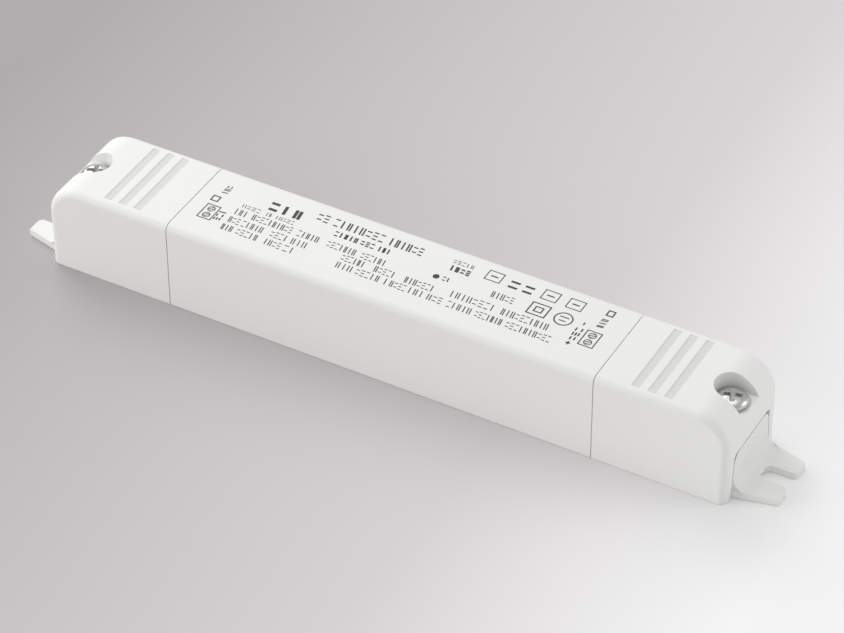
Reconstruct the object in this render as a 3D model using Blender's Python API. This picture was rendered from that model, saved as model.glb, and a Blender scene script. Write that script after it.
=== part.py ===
"""Slim LED driver, 150 x 22 x 20 mm, in metres with +Z up.

The origin is under the middle of the base. The length runs along X, with the mains input at -X and
the LED output at +X. A base tray carries the circuit board. A central housing and two screwed-on
end covers close it, and a slotted tab at each end fixes the driver to a surface.
"""
import math

import bmesh
import bpy
from mathutils import Matrix

# Housing
BODY_LENGTH = 0.1503
BODY_WIDTH = 0.022
BODY_HEIGHT = 0.020
WALL = 0.0014
COVER_LENGTH = 0.02795
SEAM_GAP = 0.0003
EDGE_RADIUS = 0.0016
INNER_EDGE = 0.0004
END_RADIUS = 0.0072
SEAT = 0.0003
SHELL_CLEARANCE = 0.00025

# Three shallow bands across the top of each end cover
BAND_COUNT = 3
BAND_WIDTH = 0.0017
BAND_PITCH = 0.0034
BAND_DEPTH = 0.0003
BAND_FROM_SEAM = 0.00765
BAND_END_MARGIN = 0.0018

# Screw pocket in the rounded end of each cover
SCREW_FROM_END = 0.0045
POCKET_RADIUS = 0.0037
POCKET_FLOOR = 0.0158
HEAD_SEAT_RADIUS = 0.0036
HEAD_SEAT_DEPTH = 0.0003
POCKET_WALL = 0.0012
POCKET_FLOOR_WALL = 0.0013

# Cover screw
SHANK_RADIUS = 0.0014
SHANK_LENGTH = 0.0100
SHANK_TIP_RADIUS = 0.0006
SHANK_CLEARANCE = 0.0003
HEAD_RADIUS = 0.0031
HEAD_RIM = 0.0009
HEAD_DOME = 0.0010
DRIVE_SLOT_WIDTH = 0.0009
DRIVE_SLOT_DEPTH = 0.0009
DRIVE_SLOT_LENGTH = 0.0044

# Cut-out in the end face of each cover, and the end wall of the tray that fills it
PILLAR_BOTTOM = 0.0026
PILLAR_TOP = 0.0032
CUTOUT_HEIGHT = 0.0102
CUTOUT_CORNER = 0.0010
END_WALL_GAP = 0.0003
END_WALL_CORNER = 0.0022
END_WALL_ROOT = 0.0006

# Mounting tabs
TAB_LENGTH = 0.00875
TAB_THICKNESS = 0.0015
TAB_TIP_WIDTH = 0.0120
SLOT_WIDTH = 0.0042
SLOT_LENGTH = 0.0065
SLOT_MOUTH_RADIUS = 0.0010
TAB_COVE = 0.0026

# Base tray
FLOOR = 0.0018
RAIL_THICKNESS = 0.0011
RAIL_HEIGHT = 0.0032
BOSS_RADIUS = 0.0025
RIB_THICKNESS = 0.0012
BOARD_RIB_COUNT = 5
CORD_RIB_COUNT = 2
CORD_RIB_HEIGHT = 0.0012
CORD_RIB_PITCH = 0.0026
CORD_RIB_END_MARGIN = 0.0016

# Lap joint of the central housing under the end covers, and its lugs that hold the board down
LAP_LENGTH = 0.0025
LAP_THICKNESS = 0.0010
LAP_ROOT = 0.0020
LAP_ABOVE_RAIL = 0.0010
LUG_LENGTH = 0.0014
LUG_HEIGHT = 0.0022
LUG_OVERLAP = 0.0006
LUG_PAIRS = 3
LUG_SPAN_SHARE = 0.84

# Circuit board and the room for its parts
BOARD_THICKNESS = 0.0016
BOARD_STANDOFF = 0.0018
BOARD_CLEARANCE = 0.0003
BOARD_TO_SCREW = 0.0119
BOARD_EDGE_KEEPOUT = 0.0010

# Terminal blocks
TERMINAL_LENGTH = 0.0080
TERMINAL_POLE_PITCH = 0.0050
TERMINAL_HEADROOM = 0.0028
TERMINAL_STEP = 0.0020
TERMINAL_STEP_DROP = 0.0024
CHAMBER_WIDTH = 0.0038
CHAMBER_HEIGHT = 0.0046
CHAMBER_DEPTH = 0.0058
CHAMBER_FLOOR = 0.0012
TERMINAL_WALL = 0.0008
CAGE_WALL = 0.0006
CAGE_DEPTH = 0.0040
CAGE_CLEARANCE = 0.0003
CLAMP_SCREW_RADIUS = 0.0008
CLAMP_HEAD_RADIUS = 0.0013
CLAMP_HEAD_HEIGHT = 0.0012
CLAMP_SCREW_CLEARANCE = 0.0003
CLAMP_SCREW_LENGTH = 0.0042
CLAMP_SLOT_WIDTH = 0.0005
CLAMP_SLOT_DEPTH = 0.0006

# Parts on the board, from the input end to the output end
MOULDED_EDGE = 0.0004
DISC_EDGE = 0.0007
CAN_EDGE = 0.0005
CAN_CRIMP_HEIGHT = 0.0019
FUSE_LENGTH = 0.0084
FUSE_WIDTH = 0.0042
FUSE_HEIGHT = 0.0076
VARISTOR_DIAMETER = 0.0070
VARISTOR_THICKNESS = 0.0036
SUPPRESSION_LENGTH = 0.0090
SUPPRESSION_WIDTH = 0.0046
SUPPRESSION_HEADROOM = 0.0046
BRIDGE_LENGTH = 0.0047
BRIDGE_WIDTH = 0.0039
BRIDGE_HEIGHT = 0.0026
CHOKE_DIAMETER = 0.0075
CHOKE_HEADROOM = 0.0045
CHOKE_FLANGE = 0.0011
CHOKE_CORE_RADIUS = 0.0016
CHOKE_WINDING_INSET = 0.0005
THERMISTOR_DIAMETER = 0.0050
THERMISTOR_THICKNESS = 0.0028
BULK_LENGTH = 0.0125
BULK_HEADROOM = 0.0032
CHIP_LENGTH = 0.0049
CHIP_WIDTH = 0.0039
CHIP_HEIGHT = 0.0017
TRANSISTOR_LENGTH = 0.0066
TRANSISTOR_WIDTH = 0.0023
TRANSISTOR_HEIGHT = 0.0071
SPREADER_LENGTH = 0.0070
SPREADER_THICKNESS = 0.0012
SPREADER_HEADROOM = 0.0034
SPREADER_FOOT = 0.0016
TRANSFORMER_LENGTH = 0.0138
TRANSFORMER_HEADROOM = 0.0018
CORE_BACK = 0.0026
CORE_OUTER_LEG_SHARE = 0.38
CORE_CENTRE_LEG_SHARE = 0.34
CORE_HEIGHT_SHARE = 0.54
BOBBIN_WALL = 0.0006
BOBBIN_CLEARANCE = 0.0003
WINDING_INSET = 0.0004
WINDING_CORNER_SHARE = 0.3
ISOLATION_DIAMETER = 0.0068
ISOLATION_THICKNESS = 0.0032
DIODE_LENGTH = 0.0050
DIODE_WIDTH = 0.0040
DIODE_HEIGHT = 0.0024
OUTPUT_CAN_DIAMETER = 0.0063
OUTPUT_CAN_HEADROOM = 0.0026
OPTO_LENGTH = 0.0064
OPTO_WIDTH = 0.0042
OPTO_HEIGHT = 0.0032

# Places worked out from the sizes above
HALF_LENGTH = BODY_LENGTH / 2
HALF_WIDTH = BODY_WIDTH / 2
SEAM = HALF_LENGTH - COVER_LENGTH
HOUSING_END = SEAM - SEAM_GAP
INNER_HALF_WIDTH = HALF_WIDTH - WALL
CEILING = BODY_HEIGHT - WALL
INNER_END = HALF_LENGTH - WALL
SCREW_X = HALF_LENGTH - SCREW_FROM_END
HEAD_SEAT = POCKET_FLOOR - HEAD_SEAT_DEPTH
BOSS_TOP = HEAD_SEAT - POCKET_FLOOR_WALL - SEAT
TRAY_HALF_WIDTH = INNER_HALF_WIDTH - SHELL_CLEARANCE
TRAY_END = INNER_END - SHELL_CLEARANCE
END_WALL_BACK = TRAY_END - END_WALL_ROOT
RAIL_TOP = FLOOR + RAIL_HEIGHT
RAIL_INNER = TRAY_HALF_WIDTH - RAIL_THICKNESS
BOARD_HALF_WIDTH = RAIL_INNER - BOARD_CLEARANCE
BOARD_BOTTOM = FLOOR + BOARD_STANDOFF + SEAT
BOARD_TOP = BOARD_BOTTOM + BOARD_THICKNESS
BOARD_END = SCREW_X - BOARD_TO_SCREW
PART_SEAT = BOARD_TOP + SEAT
PART_HALF_WIDTH = BOARD_HALF_WIDTH - BOARD_EDGE_KEEPOUT
LAP_BOTTOM = max(RAIL_TOP, BOARD_TOP) + LAP_ABOVE_RAIL
TERMINAL_X = BOARD_END - TERMINAL_LENGTH / 2
OVERSHOOT = 0.002

# Finishes: colour, roughness and metallic value
FINISHES = {
    "housing_white": ((0.86, 0.86, 0.85), 0.45, 0.0),
    "tray_white": ((0.84, 0.84, 0.83), 0.50, 0.0),
    "screw_steel": ((0.72, 0.72, 0.70), 0.25, 1.0),
    "board_green": ((0.10, 0.28, 0.12), 0.50, 0.0),
    "terminal_green": ((0.08, 0.32, 0.20), 0.45, 0.0),
    "terminal_brass": ((0.72, 0.56, 0.28), 0.35, 1.0),
    "fuse_brown": ((0.22, 0.10, 0.06), 0.45, 0.0),
    "dipped_blue": ((0.06, 0.20, 0.46), 0.35, 0.0),
    "capacitor_yellow": ((0.75, 0.58, 0.10), 0.45, 0.0),
    "chip_black": ((0.04, 0.04, 0.04), 0.50, 0.0),
    "ferrite": ((0.10, 0.10, 0.11), 0.60, 0.0),
    "copper_wire": ((0.62, 0.28, 0.12), 0.35, 1.0),
    "can_sleeve": ((0.05, 0.06, 0.10), 0.35, 0.0),
    "spreader_aluminium": ((0.75, 0.76, 0.78), 0.35, 1.0),
    "winding_tape": ((0.78, 0.62, 0.12), 0.40, 0.0),
    "opto_white": ((0.75, 0.75, 0.72), 0.50, 0.0),
}


def finish(name):
    """The named Principled material, made on first use."""
    found = bpy.data.materials.get(name)
    if found:
        return found
    colour, roughness, metallic = FINISHES[name]
    made = bpy.data.materials.new(name)
    made.use_nodes = True
    shader = made.node_tree.nodes["Principled BSDF"]
    shader.inputs["Base Color"].default_value = (*colour, 1.0)
    shader.inputs["Roughness"].default_value = roughness
    shader.inputs["Metallic"].default_value = metallic
    made.diffuse_color = (*colour, 1.0)
    return made


def arc(cx, cy, radius, start, end, steps):
    """Points of a circular arc, angles in degrees."""
    points = []
    for step in range(steps + 1):
        angle = math.radians(start + (end - start) * step / steps)
        points.append((cx + radius * math.cos(angle), cy + radius * math.sin(angle)))
    return points


def extrude(outline, axis, low, high):
    """A closed prism: an outline extruded along X, Y or Z from low to high.

    The outline's two coordinates are (y, z) for X, (x, z) for Y and (x, y) for Z.
    """
    bm = bmesh.new()
    place = {
        "X": lambda u, v, w: (w, u, v),
        "Y": lambda u, v, w: (u, w, v),
        "Z": lambda u, v, w: (u, v, w),
    }[axis]
    bottom = [bm.verts.new(place(u, v, low)) for u, v in outline]
    top = [bm.verts.new(place(u, v, high)) for u, v in outline]
    bm.faces.new(bottom)
    bm.faces.new(top)
    for i in range(len(outline)):
        j = (i + 1) % len(outline)
        bm.faces.new((bottom[i], bottom[j], top[j], top[i]))
    bmesh.ops.recalc_face_normals(bm, faces=bm.faces)
    return bm


def block(x0, x1, y0, y1, z0, z1):
    """A rectangular block between two corners."""
    return extrude([(x0, y0), (x1, y0), (x1, y1), (x0, y1)], "Z", z0, z1)


def turned(profile, steps=24, cx=0.0, cy=0.0):
    """A solid of revolution about a vertical axis through (cx, cy); profile is (radius, z)."""
    bm = bmesh.new()
    rings = []
    for radius, z in profile:
        if radius == 0:
            rings.append([bm.verts.new((cx, cy, z))])
            continue
        ring = []
        for step in range(steps):
            angle = 2 * math.pi * step / steps
            ring.append(bm.verts.new((cx + radius * math.cos(angle), cy + radius * math.sin(angle), z)))
        rings.append(ring)
    for lower, upper in zip(rings, rings[1:]):
        for step in range(steps):
            after = (step + 1) % steps
            corners = [lower[step % len(lower)], lower[after % len(lower)],
                       upper[after % len(upper)], upper[step % len(upper)]]
            bm.faces.new(list(dict.fromkeys(corners)))
    for ring in (rings[0], rings[-1]):
        if len(ring) > 1:
            bm.faces.new(ring)
    bmesh.ops.recalc_face_normals(bm, faces=bm.faces)
    return bm


def cylinder(cx, cy, radius, z0, z1, steps=24):
    """An upright cylinder."""
    return turned([(radius, z0), (radius, z1)], steps, cx, cy)


def round_edges(bm, radius, chosen, segments=3):
    """Round the edges for which chosen(edge) is true."""
    edges = [edge for edge in bm.edges if chosen(edge)]
    bmesh.ops.bevel(bm, geom=edges, offset=radius, segments=segments, profile=0.5,
                    affect="EDGES", clamp_overlap=True)
    bmesh.ops.recalc_face_normals(bm, faces=bm.faces)
    return bm


def piece(name, bm, material):
    """Make the named object from a bmesh, with its material."""
    mesh = bpy.data.meshes.new(name)
    bm.to_mesh(mesh)
    bm.free()
    made = bpy.data.objects.new(name, mesh)
    bpy.context.scene.collection.objects.link(made)
    mesh.materials.append(material)
    return made


def combine(target, bm, operation):
    """Cut a bmesh from an object, or join it on, with an exact Boolean."""
    tool = piece("tool", bm, target.data.materials[0])
    step = target.modifiers.new("shape", "BOOLEAN")
    step.operation = operation
    step.solver = "EXACT"
    step.object = tool
    graph = bpy.context.evaluated_depsgraph_get()
    result = bpy.data.meshes.new_from_object(target.evaluated_get(graph))
    target.modifiers.remove(step)
    spent = target.data
    target.data = result
    result.name = target.name
    bpy.data.meshes.remove(spent)
    tool_mesh = tool.data
    bpy.data.objects.remove(tool)
    bpy.data.meshes.remove(tool_mesh)


def taken_apart(source):
    """The bmesh of an object that only served to shape another; the object goes."""
    bm = bmesh.new()
    bm.from_mesh(source.data)
    mesh = source.data
    bpy.data.objects.remove(source)
    bpy.data.meshes.remove(mesh)
    return bm


def cut(target, bm):
    combine(target, bm, "DIFFERENCE")


def join(target, bm):
    combine(target, bm, "UNION")


def finish_shading(target, angle=35):
    """Smooth round faces and keep the edges sharp."""
    bm = bmesh.new()
    bm.from_mesh(target.data)
    bmesh.ops.dissolve_degenerate(bm, edges=bm.edges, dist=0.000001)
    bm.to_mesh(target.data)
    bm.free()
    target.data.shade_smooth()
    target.data.set_sharp_from_angle(angle=math.radians(angle))
    return target


def twin(source, name):
    """The same piece at the input end, turned half round the driver's middle."""
    copy = bpy.data.objects.new(name, source.data)
    bpy.context.scene.collection.objects.link(copy)
    copy.rotation_euler = (0.0, 0.0, math.pi)
    return copy


def spread(sizes, low, high):
    """Centres of a row of parts between low and high, with equal gaps."""
    gap = (high - low - sum(sizes)) / (len(sizes) + 1)
    centres = []
    at = low
    for size in sizes:
        centres.append(at + gap + size / 2)
        at += gap + size
    return centres


def trough(half_length, half_width, top, bottom, edge_radius):
    """The outer form of a straight length of housing, its two long top edges rounded."""
    bm = block(-half_length, half_length, -half_width, half_width, bottom, top)

    def long_top(edge):
        a, b = (vert.co for vert in edge.verts)
        return abs(a.z - top) < 1e-6 and abs(b.z - top) < 1e-6 and abs(a.x - b.x) > 1e-6

    return round_edges(bm, edge_radius, long_top, segments=4)


def end_form(seam, end, half_width, top, bottom, end_radius, edge_radius, segments):
    """The outer form of an end cover: the top curves down into the end face, edges rounded."""
    outline = [(seam, bottom), (end, bottom)]
    outline += arc(end - end_radius, top - end_radius, end_radius, 0, 90, 10)
    outline += [(seam, top)]
    bm = extrude(outline, "Y", -half_width, half_width)

    def side_outline(edge):
        a, b = (vert.co for vert in edge.verts)
        on_side = abs(a.y - b.y) < 1e-6
        at_bottom = abs(a.z - bottom) < 1e-6 and abs(b.z - bottom) < 1e-6
        at_seam = abs(a.x - seam) < 1e-6 and abs(b.x - seam) < 1e-6
        return on_side and not at_bottom and not at_seam

    return round_edges(bm, edge_radius, side_outline, segments)


def pocket_outline(radius, grow=0.0):
    """U outline of the screw pocket, open towards the end face."""
    inner = arc(SCREW_X, 0.0, radius + grow, 90, 270, 14)
    reach = HALF_LENGTH + OVERSHOOT
    return [(reach, radius + grow)] + inner + [(reach, -radius - grow)]


def gate_outline(shrink, corner, bottom):
    """Outline of the end cut-out, a little narrower at its top; shrink gives the wall in it."""
    low = HALF_WIDTH - PILLAR_BOTTOM - shrink
    high = HALF_WIDTH - PILLAR_TOP - shrink
    top = CUTOUT_HEIGHT - shrink
    right = arc(high - corner, top - corner, corner, 0, 90, 5)
    left = [(-y, z) for y, z in reversed(right)]
    return [(-low, bottom), (low, bottom)] + right + left


def end_cover():
    """The end cover of the output side; the input side's is the same moulding."""
    outer = end_form(SEAM, HALF_LENGTH, HALF_WIDTH, BODY_HEIGHT, 0.0, END_RADIUS, EDGE_RADIUS, 4)
    inner = end_form(SEAM - OVERSHOOT, INNER_END, INNER_HALF_WIDTH, CEILING, -OVERSHOOT,
                     max(END_RADIUS - WALL, INNER_EDGE), INNER_EDGE, 1)
    cover = piece("end_cover_output", outer, finish("housing_white"))
    hollow = piece("hollow", inner, finish("housing_white"))
    cut(hollow, extrude(pocket_outline(POCKET_RADIUS, POCKET_WALL), "Z", HEAD_SEAT - POCKET_FLOOR_WALL,
                        BODY_HEIGHT + OVERSHOOT))
    rib_reach = INNER_HALF_WIDTH - CORD_RIB_END_MARGIN
    for centre in cord_rib_centres():
        x = centre + CORD_RIB_PITCH / 2
        cut(hollow, block(x - RIB_THICKNESS / 2, x + RIB_THICKNESS / 2, -rib_reach, rib_reach,
                          CEILING - CORD_RIB_HEIGHT, CEILING + OVERSHOOT))
    cut(cover, taken_apart(hollow))
    band_reach = HALF_WIDTH - BAND_END_MARGIN
    for number in range(BAND_COUNT):
        x = SEAM + BAND_FROM_SEAM + number * BAND_PITCH
        cut(cover, block(x - BAND_WIDTH / 2, x + BAND_WIDTH / 2, -band_reach, band_reach,
                         BODY_HEIGHT - BAND_DEPTH, BODY_HEIGHT + OVERSHOOT))
    cut(cover, extrude(pocket_outline(POCKET_RADIUS), "Z", POCKET_FLOOR, BODY_HEIGHT + OVERSHOOT))
    cut(cover, cylinder(SCREW_X, 0.0, HEAD_SEAT_RADIUS, HEAD_SEAT, BODY_HEIGHT, 28))
    cut(cover, cylinder(SCREW_X, 0.0, SHANK_RADIUS + SHANK_CLEARANCE, FLOOR, BODY_HEIGHT, 16))
    cut(cover, extrude(gate_outline(0.0, CUTOUT_CORNER, -OVERSHOOT), "X",
                       INNER_END - WALL / 2, HALF_LENGTH + OVERSHOOT))
    return finish_shading(cover)


def cord_rib_centres():
    """Places of the ribs that grip the cables, between the terminal block and the screw boss."""
    middle = (BOARD_END + SCREW_X - BOSS_RADIUS) / 2
    first = middle - CORD_RIB_PITCH * CORD_RIB_COUNT / 2
    return [first + number * CORD_RIB_PITCH for number in range(CORD_RIB_COUNT)]


def central_housing():
    """The long trough between the seams, lapped under the end covers."""
    lap_half_width = INNER_HALF_WIDTH - SHELL_CLEARANCE
    lap_top = CEILING - SHELL_CLEARANCE
    lap_reach = HOUSING_END + SEAM_GAP + LAP_LENGTH
    housing = piece("central_housing", trough(HOUSING_END, HALF_WIDTH, BODY_HEIGHT, 0.0, EDGE_RADIUS),
                    finish("housing_white"))
    join(housing, block(-lap_reach, lap_reach, -lap_half_width, lap_half_width, LAP_BOTTOM, lap_top))
    cut(housing, block(-lap_reach - OVERSHOOT, lap_reach + OVERSHOOT,
                       LAP_THICKNESS - lap_half_width, lap_half_width - LAP_THICKNESS,
                       -OVERSHOOT, lap_top - LAP_THICKNESS))
    cut(housing, block(-HOUSING_END - OVERSHOOT, HOUSING_END + OVERSHOOT,
                       -INNER_HALF_WIDTH, INNER_HALF_WIDTH, -OVERSHOOT, LAP_BOTTOM))
    wide = HOUSING_END - LAP_ROOT
    cut(housing, block(-wide, wide, -INNER_HALF_WIDTH, INNER_HALF_WIDTH, 0.0, CEILING))
    lug_inner = BOARD_HALF_WIDTH - LUG_OVERLAP
    lug_outer = INNER_HALF_WIDTH + WALL / 2
    lug_bottom = max(PART_SEAT, RAIL_TOP + SEAT)
    for x in lug_places():
        for low, high in ((-lug_outer, -lug_inner), (lug_inner, lug_outer)):
            join(housing, block(x - LUG_LENGTH / 2, x + LUG_LENGTH / 2, low, high,
                                lug_bottom, lug_bottom + LUG_HEIGHT))
    return finish_shading(housing)


def lug_places():
    """Places along the housing of the pairs of lugs over the board's edges."""
    reach = (HOUSING_END - LAP_ROOT) * LUG_SPAN_SHARE
    return [reach * (2 * number / (LUG_PAIRS - 1) - 1) for number in range(LUG_PAIRS)]


def tab_outline():
    """Outline of the output tab: tapered, with a slot that opens at its tip."""
    root = HALF_WIDTH - PILLAR_BOTTOM - END_WALL_GAP
    tip = HALF_LENGTH + TAB_LENGTH
    half_tip = TAB_TIP_WIDTH / 2
    half_slot = SLOT_WIDTH / 2
    mouth = SLOT_MOUTH_RADIUS
    closed_end = tip - SLOT_LENGTH
    upper = arc(tip - mouth, half_slot + mouth, mouth, 0, -90, 4)
    slot = arc(closed_end + half_slot, 0.0, half_slot, 90, 270, 12)
    lower = [(x, -y) for x, y in reversed(upper)]
    return [(END_WALL_BACK, -root), (END_WALL_BACK, root), (HALF_LENGTH, root), (tip, half_tip)] + upper \
        + slot + lower + [(tip, -half_tip), (HALF_LENGTH, -root)]


def base_tray():
    """The one moulding under everything: floor, rails, ribs, bosses, end walls and tabs."""
    tray = piece("base_tray", block(-TRAY_END, TRAY_END, -TRAY_HALF_WIDTH, TRAY_HALF_WIDTH, 0.0, FLOOR),
                 finish("tray_white"))
    for low, high in ((-TRAY_HALF_WIDTH, -RAIL_INNER), (RAIL_INNER, TRAY_HALF_WIDTH)):
        join(tray, block(-BOARD_END, BOARD_END, low, high, FLOOR / 2, RAIL_TOP))
    rib_top = FLOOR + BOARD_STANDOFF
    rib_span = BOARD_END - RIB_THICKNESS
    rib_reach = RAIL_INNER + RAIL_THICKNESS / 2
    for number in range(BOARD_RIB_COUNT):
        x = rib_span * (2 * number / (BOARD_RIB_COUNT - 1) - 1)
        join(tray, block(x - RIB_THICKNESS / 2, x + RIB_THICKNESS / 2, -rib_reach, rib_reach,
                         FLOOR / 2, rib_top))
    for side in (1, -1):
        for form in tray_end_forms():
            bmesh.ops.rotate(form, verts=form.verts, cent=(0, 0, 0),
                             matrix=Matrix.Rotation(0 if side > 0 else math.pi, 3, "Z"))
            join(tray, form)
        cut(tray, cylinder(side * SCREW_X, 0.0, SHANK_RADIUS + SHANK_CLEARANCE, FLOOR, BODY_HEIGHT, 16))
    return finish_shading(tray)


def tray_end_forms():
    """What the tray has at its output end; the input end has the same."""
    root = HALF_WIDTH - PILLAR_BOTTOM - END_WALL_GAP
    wall = extrude(gate_outline(END_WALL_GAP, END_WALL_CORNER, 0.0), "X", END_WALL_BACK, HALF_LENGTH)
    tab = extrude(tab_outline(), "Z", 0.0, TAB_THICKNESS)
    rise = arc(HALF_LENGTH + TAB_COVE, TAB_THICKNESS + TAB_COVE, TAB_COVE, 270, 180, 5)
    middle = (END_WALL_BACK + HALF_LENGTH) / 2
    cove_outline = [(middle, TAB_THICKNESS / 2), (HALF_LENGTH + TAB_COVE, TAB_THICKNESS / 2)] + rise \
        + [(middle, TAB_THICKNESS + TAB_COVE)]
    cove_reach = HALF_WIDTH - PILLAR_TOP - END_WALL_GAP
    cove = extrude(cove_outline, "Y", -cove_reach, cove_reach)
    boss = cylinder(SCREW_X, 0.0, BOSS_RADIUS, FLOOR / 2, BOSS_TOP, 24)
    forms = [boss, wall, tab, cove]
    for x in cord_rib_centres():
        forms.append(block(x - RIB_THICKNESS / 2, x + RIB_THICKNESS / 2, -root, root,
                           FLOOR / 2, FLOOR + CORD_RIB_HEIGHT))
    return forms


def cover_screw():
    """Pan-head screw of the output cover, with a cross slot."""
    under = HEAD_SEAT + SEAT
    rim = under + HEAD_RIM
    dome = [(HEAD_RADIUS * math.cos(math.radians(angle)), rim + HEAD_DOME * math.sin(math.radians(angle)))
            for angle in (25, 50, 72)]
    top = rim + HEAD_DOME
    tip = under - SHANK_LENGTH
    profile = [(SHANK_TIP_RADIUS, tip), (SHANK_RADIUS, tip + SHANK_RADIUS - SHANK_TIP_RADIUS),
               (SHANK_RADIUS, under), (HEAD_RADIUS, under), (HEAD_RADIUS, rim)] + dome + [(0.0, top)]
    screw = piece("cover_screw_output", turned(profile, 24, SCREW_X), finish("screw_steel"))
    half = DRIVE_SLOT_LENGTH / 2
    slim = DRIVE_SLOT_WIDTH / 2
    cut(screw, block(SCREW_X - half, SCREW_X + half, -slim, slim, top - DRIVE_SLOT_DEPTH, top + OVERSHOOT))
    cut(screw, block(SCREW_X - slim, SCREW_X + slim, -half, half, top - DRIVE_SLOT_DEPTH, top + OVERSHOOT))
    return finish_shading(screw)


def terminal_block():
    """Two-pole terminal block of the output end: wire holes face out, screws open upwards."""
    half_width = TERMINAL_POLE_PITCH + TERMINAL_WALL / 2
    top = CEILING - TERMINAL_HEADROOM
    x0 = TERMINAL_X - TERMINAL_LENGTH / 2
    x1 = TERMINAL_X + TERMINAL_LENGTH / 2
    outline = [(x0, PART_SEAT), (x1, PART_SEAT), (x1, top - TERMINAL_STEP_DROP),
               (x1 - TERMINAL_STEP, top), (x0, top)]
    body = piece("terminal_block_output", extrude(outline, "Y", -half_width, half_width),
                 finish("terminal_green"))
    floor = PART_SEAT + CHAMBER_FLOOR
    for y in pole_places():
        cut(body, block(x1 - CHAMBER_DEPTH, x1 + OVERSHOOT, y - CHAMBER_WIDTH / 2, y + CHAMBER_WIDTH / 2,
                        floor, floor + CHAMBER_HEIGHT))
        cut(body, cylinder(cage_x(), y, CLAMP_HEAD_RADIUS + CLAMP_SCREW_CLEARANCE,
                           floor + CHAMBER_HEIGHT / 2, top + OVERSHOOT, 16))
    return finish_shading(body)


def pole_places():
    return [-TERMINAL_POLE_PITCH / 2, TERMINAL_POLE_PITCH / 2]


def cage_x():
    """Centre of the cages along X: at the inner end of the chamber."""
    return BOARD_END - CHAMBER_DEPTH + CAGE_CLEARANCE + CAGE_DEPTH / 2


def terminal_cage(name, y):
    """Square brass tube that the wire goes into, tapped in its top wall."""
    half = CHAMBER_WIDTH / 2 - CAGE_CLEARANCE
    low = PART_SEAT + CHAMBER_FLOOR + CAGE_CLEARANCE
    high = PART_SEAT + CHAMBER_FLOOR + CHAMBER_HEIGHT - CAGE_CLEARANCE
    x0 = cage_x() - CAGE_DEPTH / 2
    x1 = cage_x() + CAGE_DEPTH / 2
    cage = piece(name, block(x0, x1, y - half, y + half, low, high), finish("terminal_brass"))
    cut(cage, block(x0 - OVERSHOOT, x1 + OVERSHOOT, y - half + CAGE_WALL, y + half - CAGE_WALL,
                    low + CAGE_WALL, high - CAGE_WALL))
    cut(cage, cylinder(cage_x(), y, CLAMP_SCREW_RADIUS + CLAMP_SCREW_CLEARANCE, high - 2 * CAGE_WALL,
                       high + OVERSHOOT, 16))
    return finish_shading(cage)


def terminal_screw(name, y):
    """Slotted clamp screw that reaches down through the cage's top wall."""
    cage_top = PART_SEAT + CHAMBER_FLOOR + CHAMBER_HEIGHT - CAGE_CLEARANCE
    under = cage_top + SEAT
    top = under + CLAMP_HEAD_HEIGHT
    tip = max(under - CLAMP_SCREW_LENGTH, PART_SEAT + CHAMBER_FLOOR + CAGE_CLEARANCE + CAGE_WALL + SEAT)
    profile = [(CLAMP_SCREW_RADIUS, tip), (CLAMP_SCREW_RADIUS, under), (CLAMP_HEAD_RADIUS, under),
               (CLAMP_HEAD_RADIUS, top)]
    screw = piece(name, turned(profile, 16, cage_x(), y), finish("screw_steel"))
    slim = CLAMP_SLOT_WIDTH / 2
    cut(screw, block(cage_x() - OVERSHOOT, cage_x() + OVERSHOOT, y - slim, y + slim,
                     top - CLAMP_SLOT_DEPTH, top + OVERSHOOT))
    return finish_shading(screw)


def terminals():
    """Both terminal blocks with their cages and screws."""
    twin(terminal_block(), "terminal_block_input")
    for number, y in enumerate(pole_places(), start=1):
        cage = terminal_cage(f"terminal_cage_output_{number}", y)
        screw = terminal_screw(f"terminal_screw_output_{number}", y)
        twin(cage, f"terminal_cage_input_{number}")
        twin(screw, f"terminal_screw_input_{number}")


def circuit_board():
    bm = block(-BOARD_END, BOARD_END, -BOARD_HALF_WIDTH, BOARD_HALF_WIDTH, BOARD_BOTTOM, BOARD_TOP)
    return piece("circuit_board", bm, finish("board_green"))


def moulded_block(name, x, y, length, width, height, finish_name, low=PART_SEAT):
    """A moulded part that stands on the board, its upright and top edges rounded."""
    bm = block(x - length / 2, x + length / 2, y - width / 2, y + width / 2, low, low + height)
    round_edges(bm, MOULDED_EDGE, lambda edge: max(vert.co.z for vert in edge.verts) > low + height / 2, 2)
    return finish_shading(piece(name, bm, finish(finish_name)))


def disc(name, x, y, diameter, thickness, finish_name):
    """A dipped disc that stands on its rim, its faces to the sides."""
    radius = diameter / 2
    edge = DISC_EDGE
    profile = [(0.0, -thickness / 2), (radius - edge, -thickness / 2), (radius, -thickness / 2 + edge),
               (radius, thickness / 2 - edge), (radius - edge, thickness / 2), (0.0, thickness / 2)]
    bm = turned(profile, 24)
    bmesh.ops.rotate(bm, verts=bm.verts, cent=(0, 0, 0), matrix=Matrix.Rotation(math.pi / 2, 3, "X"))
    bmesh.ops.translate(bm, verts=bm.verts, vec=(x, y, PART_SEAT + radius))
    return finish_shading(piece(name, bm, finish(finish_name)))


def can_profile(radius, length):
    """Profile of an electrolytic can, with the crimp near its base."""
    rim = CAN_EDGE
    crimp = CAN_CRIMP_HEIGHT
    return [(0.0, 0.0), (radius - rim, 0.0), (radius, rim), (radius, crimp - rim), (radius - rim, crimp),
            (radius, crimp + rim), (radius, length - rim), (radius - rim, length), (0.0, length)]


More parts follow.
